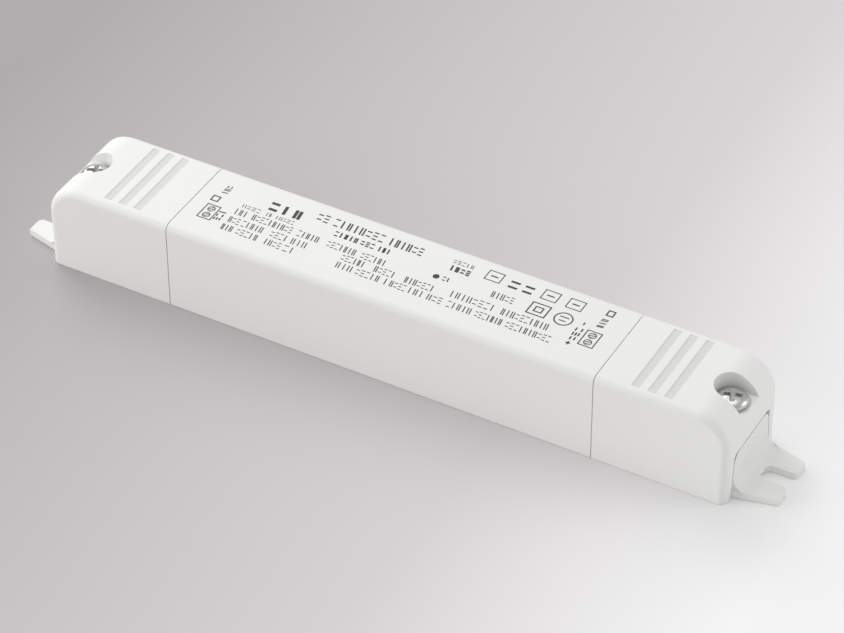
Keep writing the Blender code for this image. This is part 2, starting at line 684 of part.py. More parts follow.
def bulk_capacitor(x, y):
    """The largest can lies along the board."""
    diameter = CEILING - BULK_HEADROOM - PART_SEAT
    bm = turned(can_profile(diameter / 2, BULK_LENGTH), 28)
    bmesh.ops.rotate(bm, verts=bm.verts, cent=(0, 0, 0), matrix=Matrix.Rotation(math.pi / 2, 3, "Y"))
    bmesh.ops.translate(bm, verts=bm.verts, vec=(x - BULK_LENGTH / 2, y, PART_SEAT + diameter / 2))
    return finish_shading(piece("bulk_capacitor", bm, finish("can_sleeve")))


def output_capacitor(x, y):
    height = CEILING - OUTPUT_CAN_HEADROOM - PART_SEAT
    bm = turned([(r, PART_SEAT + z) for r, z in can_profile(OUTPUT_CAN_DIAMETER / 2, height)], 24, x, y)
    return finish_shading(piece("output_capacitor", bm, finish("can_sleeve")))


def filter_choke(x, y):
    """Ferrite drum core with its winding between the flanges."""
    radius = CHOKE_DIAMETER / 2
    top = CEILING - CHOKE_HEADROOM
    lower = PART_SEAT + CHOKE_FLANGE
    upper = top - CHOKE_FLANGE
    profile = [(radius, PART_SEAT), (radius, lower), (CHOKE_CORE_RADIUS, lower), (CHOKE_CORE_RADIUS, upper),
               (radius, upper), (radius, top)]
    finish_shading(piece("filter_choke_core", turned(profile, 24, x, y), finish("ferrite")))
    wound = radius - CHOKE_WINDING_INSET
    winding = piece("filter_choke_winding", cylinder(x, y, wound, lower + SEAT, upper - SEAT, 24),
                    finish("copper_wire"))
    cut(winding, cylinder(x, y, CHOKE_CORE_RADIUS + SEAT, lower - OVERSHOOT, upper + OVERSHOOT, 24))
    return finish_shading(winding)


def bobbin_top():
    return CEILING - TRANSFORMER_HEADROOM


def transformer(x):
    """Two E cores pushed into a bobbin from both ends, with the winding on the bobbin.

    Across and upwards, what the bobbin's wall and the clearances leave is shared between the core
    and the winding.
    """
    half_width = PART_HALF_WIDTH
    middle = (PART_SEAT + bobbin_top()) / 2
    half = TRANSFORMER_LENGTH / 2
    half_height = (bobbin_top() - PART_SEAT) / 2
    taken = WINDING_INSET + SEAT + BOBBIN_WALL + BOBBIN_CLEARANCE
    room = half_width - taken - BOBBIN_CLEARANCE
    window = half_width - CORE_OUTER_LEG_SHARE * room
    leg = CORE_CENTRE_LEG_SHARE * room
    core_half_height = CORE_HEIGHT_SHARE * (half_height - taken)
    for name, side in (("transformer_core_input", -1), ("transformer_core_output", 1)):
        def at(distance):
            return x + side * distance
        joint = SEAT / 2
        back = half - CORE_BACK
        outline = [(at(joint), half_width), (at(half), half_width), (at(half), -half_width),
                   (at(joint), -half_width), (at(joint), -window), (at(back), -window), (at(back), -leg),
                   (at(joint), -leg), (at(joint), leg), (at(back), leg), (at(back), window),
                   (at(joint), window)]
        bm = extrude(outline, "Z", middle - core_half_height, middle + core_half_height)
        piece(name, bm, finish("ferrite"))

    inner_y = leg + BOBBIN_CLEARANCE
    inner_z = core_half_height + BOBBIN_CLEARANCE
    tube_y = inner_y + BOBBIN_WALL
    tube_z = inner_z + BOBBIN_WALL
    flange_y = window - BOBBIN_CLEARANCE
    flange_outer = half - CORE_BACK - BOBBIN_CLEARANCE
    flange_inner = flange_outer - BOBBIN_WALL
    bobbin = piece("transformer_bobbin", block(x - flange_outer, x + flange_outer, -tube_y, tube_y,
                                               middle - tube_z, middle + tube_z),
                   finish("chip_black"))
    for low, high in ((-flange_outer, -flange_inner), (flange_inner, flange_outer)):
        join(bobbin, block(x + low, x + high, -flange_y, flange_y, PART_SEAT, bobbin_top()))
    cut(bobbin, block(x - half, x + half, -inner_y, inner_y, middle - inner_z, middle + inner_z))

    wound_y = flange_y - WINDING_INSET
    wound_z = half_height - WINDING_INSET
    reach = flange_inner - SEAT
    bm = block(x - reach, x + reach, -wound_y, wound_y, middle - wound_z, middle + wound_z)
    round_edges(bm, WINDING_CORNER_SHARE * wound_y,
                lambda edge: abs(edge.verts[0].co.x - edge.verts[1].co.x) > 1e-6)
    winding = piece("transformer_winding", bm, finish("winding_tape"))
    cut(winding, block(x - half, x + half, -tube_y - SEAT, tube_y + SEAT,
                       middle - tube_z - SEAT, middle + tube_z + SEAT))
    finish_shading(winding)


def heat_spreader(x, y):
    """L of aluminium: the transistor is fixed flat against its upright leg."""
    half = SPREADER_THICKNESS / 2
    top = CEILING - SPREADER_HEADROOM
    foot_end = y - half - SPREADER_FOOT
    foot_top = PART_SEAT + SPREADER_THICKNESS
    outline = [(foot_end, PART_SEAT), (y + half, PART_SEAT), (y + half, top), (y - half, top),
               (y - half, foot_top), (foot_end, foot_top)]
    bm = extrude(outline, "X", x - SPREADER_LENGTH / 2, x + SPREADER_LENGTH / 2)
    return piece("heat_spreader", bm, finish("spreader_aluminium"))


def parts_on_board():
    """Set out the bays along the board with equal gaps, and each bay's parts across it."""
    low = -BOARD_END + TERMINAL_LENGTH
    high = BOARD_END - TERMINAL_LENGTH
    lengths = [max(FUSE_LENGTH, VARISTOR_DIAMETER), max(SUPPRESSION_LENGTH, BRIDGE_LENGTH),
               max(CHOKE_DIAMETER, THERMISTOR_DIAMETER), BULK_LENGTH,
               max(CHIP_LENGTH, TRANSISTOR_LENGTH, SPREADER_LENGTH), TRANSFORMER_LENGTH,
               max(ISOLATION_DIAMETER, DIODE_LENGTH), max(OUTPUT_CAN_DIAMETER, OPTO_LENGTH)]
    bays = spread(lengths, low, high)

    def across(*widths):
        return spread(widths, -PART_HALF_WIDTH, PART_HALF_WIDTH)

    fuse_y, varistor_y = across(FUSE_WIDTH, VARISTOR_THICKNESS)
    moulded_block("fuse", bays[0], fuse_y, FUSE_LENGTH, FUSE_WIDTH, FUSE_HEIGHT, "fuse_brown")
    disc("varistor", bays[0], varistor_y, VARISTOR_DIAMETER, VARISTOR_THICKNESS, "dipped_blue")

    capacitor_y, bridge_y = across(SUPPRESSION_WIDTH, BRIDGE_WIDTH)
    moulded_block("suppression_capacitor", bays[1], capacitor_y, SUPPRESSION_LENGTH, SUPPRESSION_WIDTH,
                  CEILING - SUPPRESSION_HEADROOM - PART_SEAT, "capacitor_yellow")
    moulded_block("bridge_rectifier", bays[1], bridge_y, BRIDGE_LENGTH, BRIDGE_WIDTH, BRIDGE_HEIGHT,
                  "chip_black")

    choke_y, thermistor_y = across(CHOKE_DIAMETER, THERMISTOR_THICKNESS)
    filter_choke(bays[2], choke_y)
    disc("inrush_thermistor", bays[2], thermistor_y, THERMISTOR_DIAMETER, THERMISTOR_THICKNESS, "chip_black")

    bulk_capacitor(bays[3], 0.0)

    chip_y, stack_y = across(CHIP_WIDTH, TRANSISTOR_WIDTH + SEAT + SPREADER_THICKNESS)
    moulded_block("controller_chip", bays[4], chip_y, CHIP_LENGTH, CHIP_WIDTH, CHIP_HEIGHT, "chip_black")
    stack = (TRANSISTOR_WIDTH + SEAT + SPREADER_THICKNESS) / 2
    spreader_y = stack_y + stack - SPREADER_THICKNESS / 2
    transistor_y = stack_y - stack + TRANSISTOR_WIDTH / 2
    heat_spreader(bays[4], spreader_y)
    moulded_block("power_transistor", bays[4], transistor_y, TRANSISTOR_LENGTH, TRANSISTOR_WIDTH,
                  TRANSISTOR_HEIGHT, "chip_black", low=PART_SEAT + SPREADER_THICKNESS + SEAT)

    transformer(bays[5])

    isolation_y, diode_y = across(ISOLATION_THICKNESS, DIODE_WIDTH)
    disc("isolation_capacitor", bays[6], isolation_y, ISOLATION_DIAMETER, ISOLATION_THICKNESS, "dipped_blue")
    moulded_block("output_diode", bays[6], diode_y, DIODE_LENGTH, DIODE_WIDTH, DIODE_HEIGHT, "chip_black")

    can_y, opto_y = across(OUTPUT_CAN_DIAMETER, OPTO_WIDTH)
    output_capacitor(bays[7], can_y)
    moulded_block("optocoupler", bays[7], opto_y, OPTO_LENGTH, OPTO_WIDTH, OPTO_HEIGHT, "opto_white")


def build():
    for existing in list(bpy.data.objects):
        bpy.data.objects.remove(existing)
    base_tray()
    central_housing()
    twin(end_cover(), "end_cover_input")
    twin(cover_screw(), "cover_screw_input")
    circuit_board()
    terminals()
    parts_on_board()


build()
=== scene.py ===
"""Looks of a slim LED driver, laid out as an add-on and run as a script.

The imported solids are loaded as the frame. The casing's shells, the tray and the cover screws get finer
pieces with rounded edges, and every part inside gets its own finish.
"""
import math

import bmesh
import bpy
from bpy.props import FloatProperty, FloatVectorProperty, PointerProperty
from mathutils import Matrix, Vector


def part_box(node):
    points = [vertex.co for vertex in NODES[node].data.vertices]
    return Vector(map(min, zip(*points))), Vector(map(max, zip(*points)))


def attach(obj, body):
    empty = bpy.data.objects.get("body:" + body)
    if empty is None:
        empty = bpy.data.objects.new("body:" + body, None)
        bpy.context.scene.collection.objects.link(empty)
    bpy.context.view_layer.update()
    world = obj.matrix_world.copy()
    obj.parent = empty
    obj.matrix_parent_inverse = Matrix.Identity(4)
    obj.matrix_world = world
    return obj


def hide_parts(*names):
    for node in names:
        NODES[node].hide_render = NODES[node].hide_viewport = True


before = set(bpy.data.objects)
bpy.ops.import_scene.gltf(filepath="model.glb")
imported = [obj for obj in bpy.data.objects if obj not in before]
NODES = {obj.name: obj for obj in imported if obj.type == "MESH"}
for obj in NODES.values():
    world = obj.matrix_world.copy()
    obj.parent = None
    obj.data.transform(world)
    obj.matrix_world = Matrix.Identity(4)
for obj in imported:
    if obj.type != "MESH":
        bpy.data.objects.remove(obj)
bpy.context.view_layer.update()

bl_info = {
    "name": "LED driver looks",
    "version": (1, 0, 0),
    "blender": (4, 5, 0),
    "location": "3D View > Sidebar > LED driver",
    "description": "Finishes, print and fine pieces of a slim LED driver",
    "category": "Object",
}

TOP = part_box("central_housing")[1].z
SCREW_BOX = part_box("cover_screw_output")
SCREW_X = (SCREW_BOX[0].x + SCREW_BOX[1].x) / 2

# Places on the solids' casing. Both ends are alike, so a place along the driver is its distance from the
# middle
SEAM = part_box("end_cover_output")[0].x
SEAM_GAP = 0.0003
LAP_MARK = SEAM - 0.0030
BAND_DEPTH = 0.0003
BAND_MIDDLE = SEAM + 0.01105
BAND_REACH = 0.0045
BAND_ACROSS = 0.0093
# How far from the bands' level and from the lap's line a point may be to take their shade or mark
BAND_LEVEL = 0.00003
LAP_MARK_REACH = 0.00012
LAP_MARK_HEIGHT = 0.0006


def colour(label, default, about):
    """A colour that a user may change."""
    return FloatVectorProperty(name=label, description=about, subtype="COLOR", size=3, min=0.0, max=1.0,
                               default=default)


def length(label, default, about):
    """A size in metres."""
    return FloatProperty(name=label, description=about, subtype="DISTANCE", unit="LENGTH", min=0.0,
                         precision=5, default=default)


def share(label, default, about):
    """A number from 0 to 1."""
    return FloatProperty(name=label, description=about, subtype="FACTOR", min=0.0, max=1.0, default=default)


def watts(label, default, about):
    """The power of a lamp."""
    return FloatProperty(name=label, description=about, unit="POWER", min=0.0, default=default)


def degrees(label, default, about):
    """A turn, given in degrees."""
    return FloatProperty(name=label, description=about, subtype="ANGLE", default=math.radians(default))


class CasingSettings(bpy.types.PropertyGroup):
    """Sizes and colours of the moulded casing."""

    shell_colour: colour("Shell colour", (0.86, 0.86, 0.845), "Plastic of the housing and end covers")
    tray_colour: colour("Tray colour", (0.84, 0.84, 0.825), "Plastic of the base tray and its tabs")
    roughness: share("Roughness", 0.62, "How matt the moulded plastic is")
    edge: length("Edge radius", 0.00012, "Rounding of the moulded edges")
    seam: length("Seam", 0.00015, "Open width of the joints between the shells")
    band_depth: length("Band depth", 0.00014, "How deep the textured bands lie")
    grain: length("Grain size", 0.00022, "Width of the fine texture left by the mould")
    band_shade: share("Band shade", 0.85, "Brightness of the textured bands beside the plain plastic")


class PrintSettings(bpy.types.PropertyGroup):
    """Sizes and colours of the printed marks."""

    ink: colour("Ink", (0.035, 0.035, 0.04), "Colour of the printed marks")
    thickness: length("Ink thickness", 0.000012, "Height of the ink over the plastic")
    line: length("Line width", 0.00019, "Width of the drawn lines")


class ScrewSettings(bpy.types.PropertyGroup):
    """Sizes and colours of the cover screws."""

    steel: colour("Plating", (0.66, 0.66, 0.65), "Bright zinc plating")
    roughness: share("Roughness", 0.2, "How dull the plating is")
    slot_width: length("Slot width", 0.0009, "Width of the cross slots at the top")
    thread_pitch: length("Thread pitch", 0.0010, "Distance between the turns of the thread")


class InsideSettings(bpy.types.PropertyGroup):
    """Colours of the parts on the circuit board."""

    board: colour("Board", (0.035, 0.16, 0.055), "Solder mask")
    terminal: colour("Terminal blocks", (0.03, 0.25, 0.11), "Moulded polyamide")
    brass: colour("Brass", (0.72, 0.52, 0.23), "Cages of the terminals")
    fuse: colour("Fuse", (0.16, 0.06, 0.035), "Case of the fuse")
    dipped: colour("Dipped discs", (0.035, 0.14, 0.42), "Epoxy of the disc parts")
    film: colour("Film capacitor", (0.72, 0.50, 0.06), "Case of the suppression capacitor")
    black: colour("Moulded black", (0.022, 0.022, 0.024), "Epoxy of the chips")
    ferrite: colour("Ferrite", (0.055, 0.055, 0.06), "Cores of the choke and transformer")
    copper: colour("Copper", (0.62, 0.24, 0.09), "Enamelled wire")
    sleeve: colour("Can sleeve", (0.02, 0.03, 0.07), "Shrink sleeve of the electrolytic cans")
    aluminium: colour("Aluminium", (0.74, 0.75, 0.77), "Heat spreader")
    tape: colour("Winding tape", (0.76, 0.55, 0.07), "Polyester tape of the transformer")
    pale: colour("Optocoupler", (0.74, 0.74, 0.71), "Case of the optocoupler")


class StageSettings(bpy.types.PropertyGroup):
    """Camera, floor and light."""

    floor_painted_shade_left: colour("Floor, left", (0.405, 0.38, 0.39), "Floor beyond the input end")
    floor_painted_light_middle: colour("Floor, middle", (0.70, 0.67, 0.68), "Floor under the driver")
    floor_painted_light_right: colour("Floor, right", (0.985, 0.98, 0.985), "Floor beyond the output end")
    sky: FloatProperty(name="Sky", description="Strength of the even light all round", min=0.0, default=0.53)
    back: watts("Back lamp", 1.38, "Power of the high lamp behind the input end")
    top: watts("Top lamp", 0.85, "Power of the lamp overhead")
    left: watts("Left lamp", 1.85, "Power of the lamp beyond the input end")
    right: watts("Right lamp", 0.72, "Power of the lamp beyond the output end")
    lens: FloatProperty(name="Lens", description="Focal length", unit="CAMERA", min=1.0, default=153.94)
    azimuth: degrees("Azimuth", 29.328, "Turn of the camera round the driver")
    elevation: degrees("Elevation", 40.117, "Height of the camera over the horizon")
    roll: degrees("Roll", -0.312, "Turn of the camera about its own axis")
    distance: length("Distance", 0.70143, "From the camera to the point it looks at")


# Shader helpers


def put(tree, kind, **settings):
    """Add a node with its own settings."""
    made = tree.nodes.new(kind)
    for name, value in settings.items():
        setattr(made, name, value)
    return made


def give(tree, slot, value):
    """Join a socket to a node's input, or set the input to a number, a vector or a colour of three parts."""
    if isinstance(value, bpy.types.NodeSocket):
        tree.links.new(value, slot)
    else:
        slot.default_value = (*value, 1.0) if slot.type == "RGBA" else value


def calc(tree, operation, *operands, clamp=False):
    """The result of a Math node; each operand is a number or a socket."""
    made = put(tree, "ShaderNodeMath", operation=operation, use_clamp=clamp)
    for slot, operand in zip(made.inputs, operands):
        give(tree, slot, operand)
    return made.outputs[0]


def near(tree, value, centre, half):
    """1 where the value is within half of centre."""
    return calc(tree, "COMPARE", value, centre, half)


def ramp(tree, value, low, high, out_low=0.0, out_high=1.0):
    """Map a value from low..high to out_low..out_high, held at the ends."""
    made = put(tree, "ShaderNodeMapRange", clamp=True)
    for slot, number in zip(made.inputs, (value, low, high, out_low, out_high)):
        give(tree, slot, number)
    return made.outputs["Result"]


def blend_colours(tree, factor, first, second):
    """Mix two colours; each may be a tuple or a socket."""
    made = put(tree, "ShaderNodeMix", data_type="RGBA", clamp_factor=True)
    for index, value in ((0, factor), (6, first), (7, second)):
        give(tree, made.inputs[index], value)
    return made.outputs[2]


def noise(tree, vector, scale, detail=2.0, roughness=0.5):
    """A noise field between 0 and 1; the scale is a number or a socket."""
    made = put(tree, "ShaderNodeTexNoise")
    for name, value in (("Vector", vector), ("Scale", scale), ("Detail", detail), ("Roughness", roughness)):
        give(tree, made.inputs[name], value)
    return made.outputs["Fac"]


def effect(name, inputs, outputs, build):
    """A shared effect: a shader node group, built once."""
    found = bpy.data.node_groups.get(name)
    if found:
        return found
    tree = bpy.data.node_groups.new(name, "ShaderNodeTree")
    for label, kind, default in inputs:
        socket = tree.interface.new_socket(name=label, in_out="INPUT", socket_type=kind)
        if default is not None:
            socket.default_value = default
    for label, kind in outputs:
        tree.interface.new_socket(name=label, in_out="OUTPUT", socket_type=kind)
    given = tree.nodes.new("NodeGroupInput")
    result = tree.nodes.new("NodeGroupOutput")
    build(tree, given.outputs, result.inputs)
    return tree


def use(tree, group, **values):
    """Place a shared effect in a material with its own values."""
    made = put(tree, "ShaderNodeGroup", node_tree=group)
    for name, value in values.items():
        give(tree, made.inputs[name], value)
    return made.outputs


def moulded_grain():
    """Fine spark-eroded texture with faint flow marks: a height and a change of roughness."""
    def build(tree, given, result):
        scale = calc(tree, "DIVIDE", 1.0, given["Size"])
        fine = noise(tree, given["Vector"], scale, detail=3.0, roughness=0.6)
        broad = noise(tree, given["Vector"], calc(tree, "MULTIPLY", scale, 0.06))
        tree.links.new(calc(tree, "ADD", fine, calc(tree, "MULTIPLY", broad, 0.5)), result["Height"])
        swing = calc(tree, "ADD", calc(tree, "MULTIPLY", calc(tree, "SUBTRACT", fine, 0.5), 0.25),
                     calc(tree, "MULTIPLY", calc(tree, "SUBTRACT", broad, 0.5), 0.5))
        tree.links.new(calc(tree, "ADD", given["Roughness"],
                            calc(tree, "MULTIPLY", swing, given["Change"]), clamp=True), result["Roughness"])

    return effect("moulded grain",
                  [("Vector", "NodeSocketVector", None), ("Size", "NodeSocketFloat", 0.0002),
                   ("Roughness", "NodeSocketFloat", 0.5), ("Change", "NodeSocketFloat", 0.3)],
                  [("Height", "NodeSocketFloat"), ("Roughness", "NodeSocketFloat")], build)


def colour_drift():
    """A colour that drifts a little lighter and darker over the surface."""
    def build(tree, given, result):
        scale = calc(tree, "DIVIDE", 1.0, given["Size"])
        field = noise(tree, given["Vector"], scale, detail=3.0, roughness=0.55)
        amount = calc(tree, "MULTIPLY", calc(tree, "SUBTRACT", field, 0.5), given["Amount"])
        scaled = put(tree, "ShaderNodeVectorMath", operation="SCALE")
        tree.links.new(given["Colour"], scaled.inputs[0])
        tree.links.new(calc(tree, "ADD", amount, 1.0), scaled.inputs["Scale"])
        tree.links.new(scaled.outputs[0], result["Colour"])

    return effect("colour drift",
                  [("Vector", "NodeSocketVector", None), ("Colour", "NodeSocketColor", (0.5, 0.5, 0.5, 1.0)),
                   ("Size", "NodeSocketFloat", 0.01), ("Amount", "NodeSocketFloat", 0.1)],
                  [("Colour", "NodeSocketColor")], build)


def edge_rub():
    """A mask of edges rubbed by handling, broken up by noise; it reads the worn_edge attribute."""
    def build(tree, given, result):
        worn = put(tree, "ShaderNodeAttribute", attribute_name="worn_edge")
        spots = noise(tree, given["Vector"], 900.0, detail=3.0, roughness=0.65)
        patches = ramp(tree, spots, 0.42, 0.62)
        tree.links.new(calc(tree, "MULTIPLY", calc(tree, "MULTIPLY", worn.outputs["Fac"], patches),
                            given["Amount"], clamp=True), result["Mask"])

    return effect("edge rub", [("Vector", "NodeSocketVector", None), ("Amount", "NodeSocketFloat", 0.5)],
                  [("Mask", "NodeSocketFloat")], build)


def fine_scratches():
    """Hair scratches along one axis, as on rolled metal."""
    def build(tree, given, result):
        stretched = put(tree, "ShaderNodeVectorMath", operation="MULTIPLY")
        tree.links.new(given["Vector"], stretched.inputs[0])
        tree.links.new(given["Stretch"], stretched.inputs[1])
        lines = noise(tree, stretched.outputs[0], 1.0, detail=4.0, roughness=0.7)
        tree.links.new(lines, result["Height"])
        tree.links.new(calc(tree, "ADD", given["Roughness"],
                            calc(tree, "MULTIPLY", calc(tree, "SUBTRACT", lines, 0.5), given["Change"]),
                            clamp=True), result["Roughness"])

    return effect("fine scratches",
                  [("Vector", "NodeSocketVector", None), ("Stretch", "NodeSocketVector", (1e3, 1e4, 1e4)),
                   ("Roughness", "NodeSocketFloat", 0.3), ("Change", "NodeSocketFloat", 0.3)],
                  [("Height", "NodeSocketFloat"), ("Roughness", "NodeSocketFloat")], build)


class Finish:
    """A new material with its Principled shader and the place in the driver's own frame."""

    def __init__(self, name, metallic=0.0, coat=0.0):
        self.material = bpy.data.materials.new(name)
        self.material.use_nodes = True
        self.tree = self.material.node_tree
        self.shader = self.tree.nodes["Principled BSDF"]
        self.shader.inputs["Metallic"].default_value = metallic
        self.shader.inputs["Coat Weight"].default_value = coat
        self.place = put(self.tree, "ShaderNodeTexCoord").outputs["Object"]
        parts = put(self.tree, "ShaderNodeSeparateXYZ")
        self.tree.links.new(self.place, parts.inputs[0])
        self.x, self.y, self.z = parts.outputs

    def feed(self, name, value):
        """Join a value that changes over the surface to one of the shader's sockets."""
        self.tree.links.new(value, self.shader.inputs[name])

    def colour(self, value):
        self.feed("Base Color", value)

    def bump(self, height, distance):
        """Raise the surface by a height between 0 and 1, times a distance in metres."""
        made = put(self.tree, "ShaderNodeBump")
        made.inputs["Distance"].default_value = distance
        self.tree.links.new(height, made.inputs["Height"])
        self.feed("Normal", made.outputs["Normal"])

    def drift(self, value, size, amount):
        """The colour, drifting by an amount over patches of a size."""
        return use(self.tree, colour_drift(), Vector=self.place, Colour=value, Size=size,
                   Amount=amount)["Colour"]

    def grain(self, size, roughness, change, depth):
        """Fine grain that changes the roughness and raises the surface."""
        out = use(self.tree, moulded_grain(), Vector=self.place, Size=size, Roughness=roughness,
                  Change=change)
        self.feed("Roughness", out["Roughness"])
        self.bump(out["Height"], depth)


def shade(base, factor):
    """A colour times a factor, held at 1."""
    return tuple(min(1.0, part * factor) for part in base)


def moulded(name, base, patch, drift, grain, roughness, change, depth, coat=0.0):
    """Resin of one colour that drifts from patch to patch, with a fine grain."""
    finish = Finish(name, coat=coat)
    finish.colour(finish.drift(tuple(base), patch, drift))
    finish.grain(grain, roughness, change, depth)
    return finish.material


def rolled(name, base, patch, drift, stretch, roughness, change, depth):
    """Bare metal of one colour that drifts from patch to patch, with hair scratches along one axis."""
    finish = Finish(name, metallic=1.0)
    finish.colour(finish.drift(tuple(base), patch, drift))
    lines = use(finish.tree, fine_scratches(), Vector=finish.place, Stretch=stretch, Roughness=roughness,
                Change=change)
    finish.feed("Roughness", lines["Roughness"])
    finish.bump(lines["Height"], depth)
    return finish.material


def dress(name, material):
    """Give a CAD piece its finish."""
    for slot in NODES[name].material_slots:
        slot.link = "OBJECT"
        slot.material = material


# Mesh helpers


# Points nearer than MERGE become one, faces that meet flatter than FLAT become one, and edges sharper than
# SHARP are rounded
MERGE = 2e-6
FLAT = math.radians(0.3)
SHARP = math.radians(28)


def loose_object(name, bm):
    """An object in the scene, from a finished bmesh."""
    mesh = bpy.data.meshes.new(name)
    bm.to_mesh(mesh)
    bm.free()
    made = bpy.data.objects.new(name, mesh)
    bpy.context.scene.collection.objects.link(made)
    return made


def object_from(name, bm, material):
    """A new piece of the driver."""
    made = loose_object(name, bm)
    made.data.materials.append(material)
    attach(made, "root")
    return made


def bridge(bm, lower, upper):
    """Faces between two rings of points; at a tip the ring is one point."""
    for i in range(len(lower)):
        j = (i + 1) % len(lower)
        corners = list(dict.fromkeys((lower[i], lower[j], upper[j], upper[i])))
        if len(corners) > 2:
            bm.faces.new(corners)


def smooth(piece, angle):
    """Shade a piece smoothly, but for edges sharper than an angle in degrees."""
    for face in piece.data.polygons:
        face.use_smooth = True
    piece.data.set_sharp_from_angle(angle=math.radians(angle))


def softened(node, name, radius, material, settle=None):
    """A fine copy of a CAD piece, its sharp edges rounded; it is shown instead of the piece."""
    bm = bmesh.new()
    bm.from_mesh(NODES[node].data)
    bmesh.ops.remove_doubles(bm, verts=bm.verts, dist=MERGE)
    if settle:
        for vert in bm.verts:
            settle(vert.co)
    bmesh.ops.dissolve_limit(bm, angle_limit=FLAT, verts=bm.verts, edges=bm.edges)
    sharp = [edge for edge in bm.edges if edge.is_manifold and edge.calc_face_angle() > SHARP]
    made = bmesh.ops.bevel(bm, geom=sharp, offset=radius, segments=3, profile=0.5, affect="EDGES",
                           clamp_overlap=True)
    rounded = set(made["faces"])
    worn = bm.verts.layers.float.new("worn_edge")
    for vert in bm.verts:
        if vert.link_faces and all(face in rounded for face in vert.link_faces):
            vert[worn] = 1.0
    for face in bm.faces:
        face.smooth = True
    piece = object_from(name, bm, material)
    even = piece.modifiers.new("even shading", "WEIGHTED_NORMAL")
    even.weight = 100
    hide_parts(node)


# Stage


FLOOR_SIZE = 1.5
FLOOR_DROP = 0.00005
# Where along the driver the floor's left, middle and right colours are reached; these colours hold painted
# light and shade, dark to the left and white to the right
FLOOR_PLACES = (-0.118, 0.028, 0.09)
CAMERA_AIM = Vector((0.0046, -0.0004, 0.0100))
LAMP_AIM = Vector((0, 0, 0.01))
# Each lamp's name, place, width and depth
LAMPS = (
    ("back", (-0.42, 0.30, 0.42), 0.40, 0.40),
    ("top", (0.0, 0.05, 0.70), 0.50, 0.50),
    ("left", (-0.52, -0.39, 0.16), 0.55, 0.30),
    ("right", (0.60, 0.30, 0.25), 0.40, 0.30),
)


class STAGE_OT_light_and_camera(bpy.types.Operator):
    """Floor, soft light and the camera at the photograph's angle"""

    bl_idname = "led_driver.stage"
    bl_label = "Stage"

    def execute(self, context):
        scene = context.scene
        settings = scene.driver_stage
        scene.view_settings.view_transform = "Standard"
        self.floor(settings)
        self.lamps(settings)
        self.camera(settings, scene)
        return {"FINISHED"}

    def floor(self, settings):
        """Plain paper whose colour holds painted light: painted shade darker beyond the input end and white
        beyond the output end.
        """
        bm = bmesh.new()
        bmesh.ops.create_grid(bm, x_segments=8, y_segments=8, size=FLOOR_SIZE)
        floor = loose_object("floor", bm)
        floor.location.z = -FLOOR_DROP
        finish = Finish("floor paper")
        tree = finish.tree
        # painted light and shade: the floor's colour runs from dark on the left to white on the right, as if
        # lit from the right
        left, middle, right = FLOOR_PLACES
        darker = blend_colours(tree, ramp(tree, finish.x, left, middle), tuple(settings.floor_painted_shade_left),
                               tuple(settings.floor_painted_light_middle))
        finish.colour(blend_colours(tree, ramp(tree, finish.x, middle, right), darker,
                                    tuple(settings.floor_painted_light_right)))
        finish.shader.inputs["Roughness"].default_value = 0.9
        finish.shader.inputs["Specular IOR Level"].default_value = 0.1
        floor.data.materials.append(finish.material)

    def lamps(self, settings):
        """An even sky and four soft lamps."""
        world = bpy.data.worlds.new("even sky")
        bpy.context.scene.world = world
        world.use_nodes = True
        sky = world.node_tree.nodes["Background"]
        sky.inputs["Color"].default_value = (1.0, 1.0, 1.0, 1.0)
        sky.inputs["Strength"].default_value = settings.sky
        for name, place, width, depth in LAMPS:
            lamp = bpy.data.lights.new(name, "AREA")
            lamp.shape = "RECTANGLE"
            lamp.size = width
            lamp.size_y = depth
            lamp.energy = getattr(settings, name)
            made = bpy.data.objects.new(name, lamp)
            bpy.context.scene.collection.objects.link(made)
            made.location = place
            made.rotation_euler = (LAMP_AIM - Vector(place)).to_track_quat("-Z", "Y").to_euler()

    def camera(self, settings, scene):
        """A long lens that looks down on the driver from the output end."""
        made = bpy.data.cameras.new("camera")
        made.lens = settings.lens
        made.sensor_width = 36.0
        made.clip_start = 0.01
        made.clip_end = 20.0
        camera = bpy.data.objects.new("camera", made)
        scene.collection.objects.link(camera)
        turn = (Matrix.Rotation(settings.azimuth, 4, "Z")
                @ Matrix.Rotation(math.pi / 2 - settings.elevation, 4, "X")
                @ Matrix.Rotation(settings.roll, 4, "Z"))
        away = turn.to_3x3() @ Vector((0, 0, settings.distance))
        camera.matrix_world = Matrix.Translation(CAMERA_AIM + away) @ turn
        scene.camera = camera


# Casing


# A point this near to a seam or to the bands' floor lies on it
TOUCH = 1e-5
# The tray's edges beside the shells' edges
TRAY_ROUNDING = 1.2


def shell_plastic(settings):
    """White shell plastic: fine grain, darker textured bands and a faint mark over each lap joint."""
    finish = Finish("shell plastic")
    tree = finish.tree
    white = tuple(settings.shell_colour)
    along = calc(tree, "ABSOLUTE", finish.x)
    level = near(tree, finish.z, TOP - settings.band_depth, BAND_LEVEL)
    across = near(tree, finish.y, 0.0, BAND_ACROSS)
    bands = calc(tree, "MULTIPLY", calc(tree, "MULTIPLY", level, across),
                 near(tree, along, BAND_MIDDLE, BAND_REACH))
    base = blend_colours(tree, bands, finish.drift(white, size=0.03, amount=0.03),
                         shade(white, settings.band_shade))
    rub = use(tree, edge_rub(), Vector=finish.place, Amount=0.35)["Mask"]
    finish.colour(blend_colours(tree, rub, base, shade(white, 0.93)))
    out = use(tree, moulded_grain(), Vector=finish.place, Size=settings.grain, Roughness=settings.roughness,
              Change=0.35)
    finish.feed("Roughness", calc(tree, "ADD", out["Roughness"], calc(tree, "MULTIPLY", bands, 0.2)))
    mark = calc(tree, "MULTIPLY", near(tree, along, LAP_MARK, LAP_MARK_REACH),
                near(tree, finish.z, TOP, LAP_MARK_HEIGHT))
    finish.bump(calc(tree, "SUBTRACT", out["Height"], calc(tree, "MULTIPLY", mark, 1.5)), 0.000005)
    return finish.material


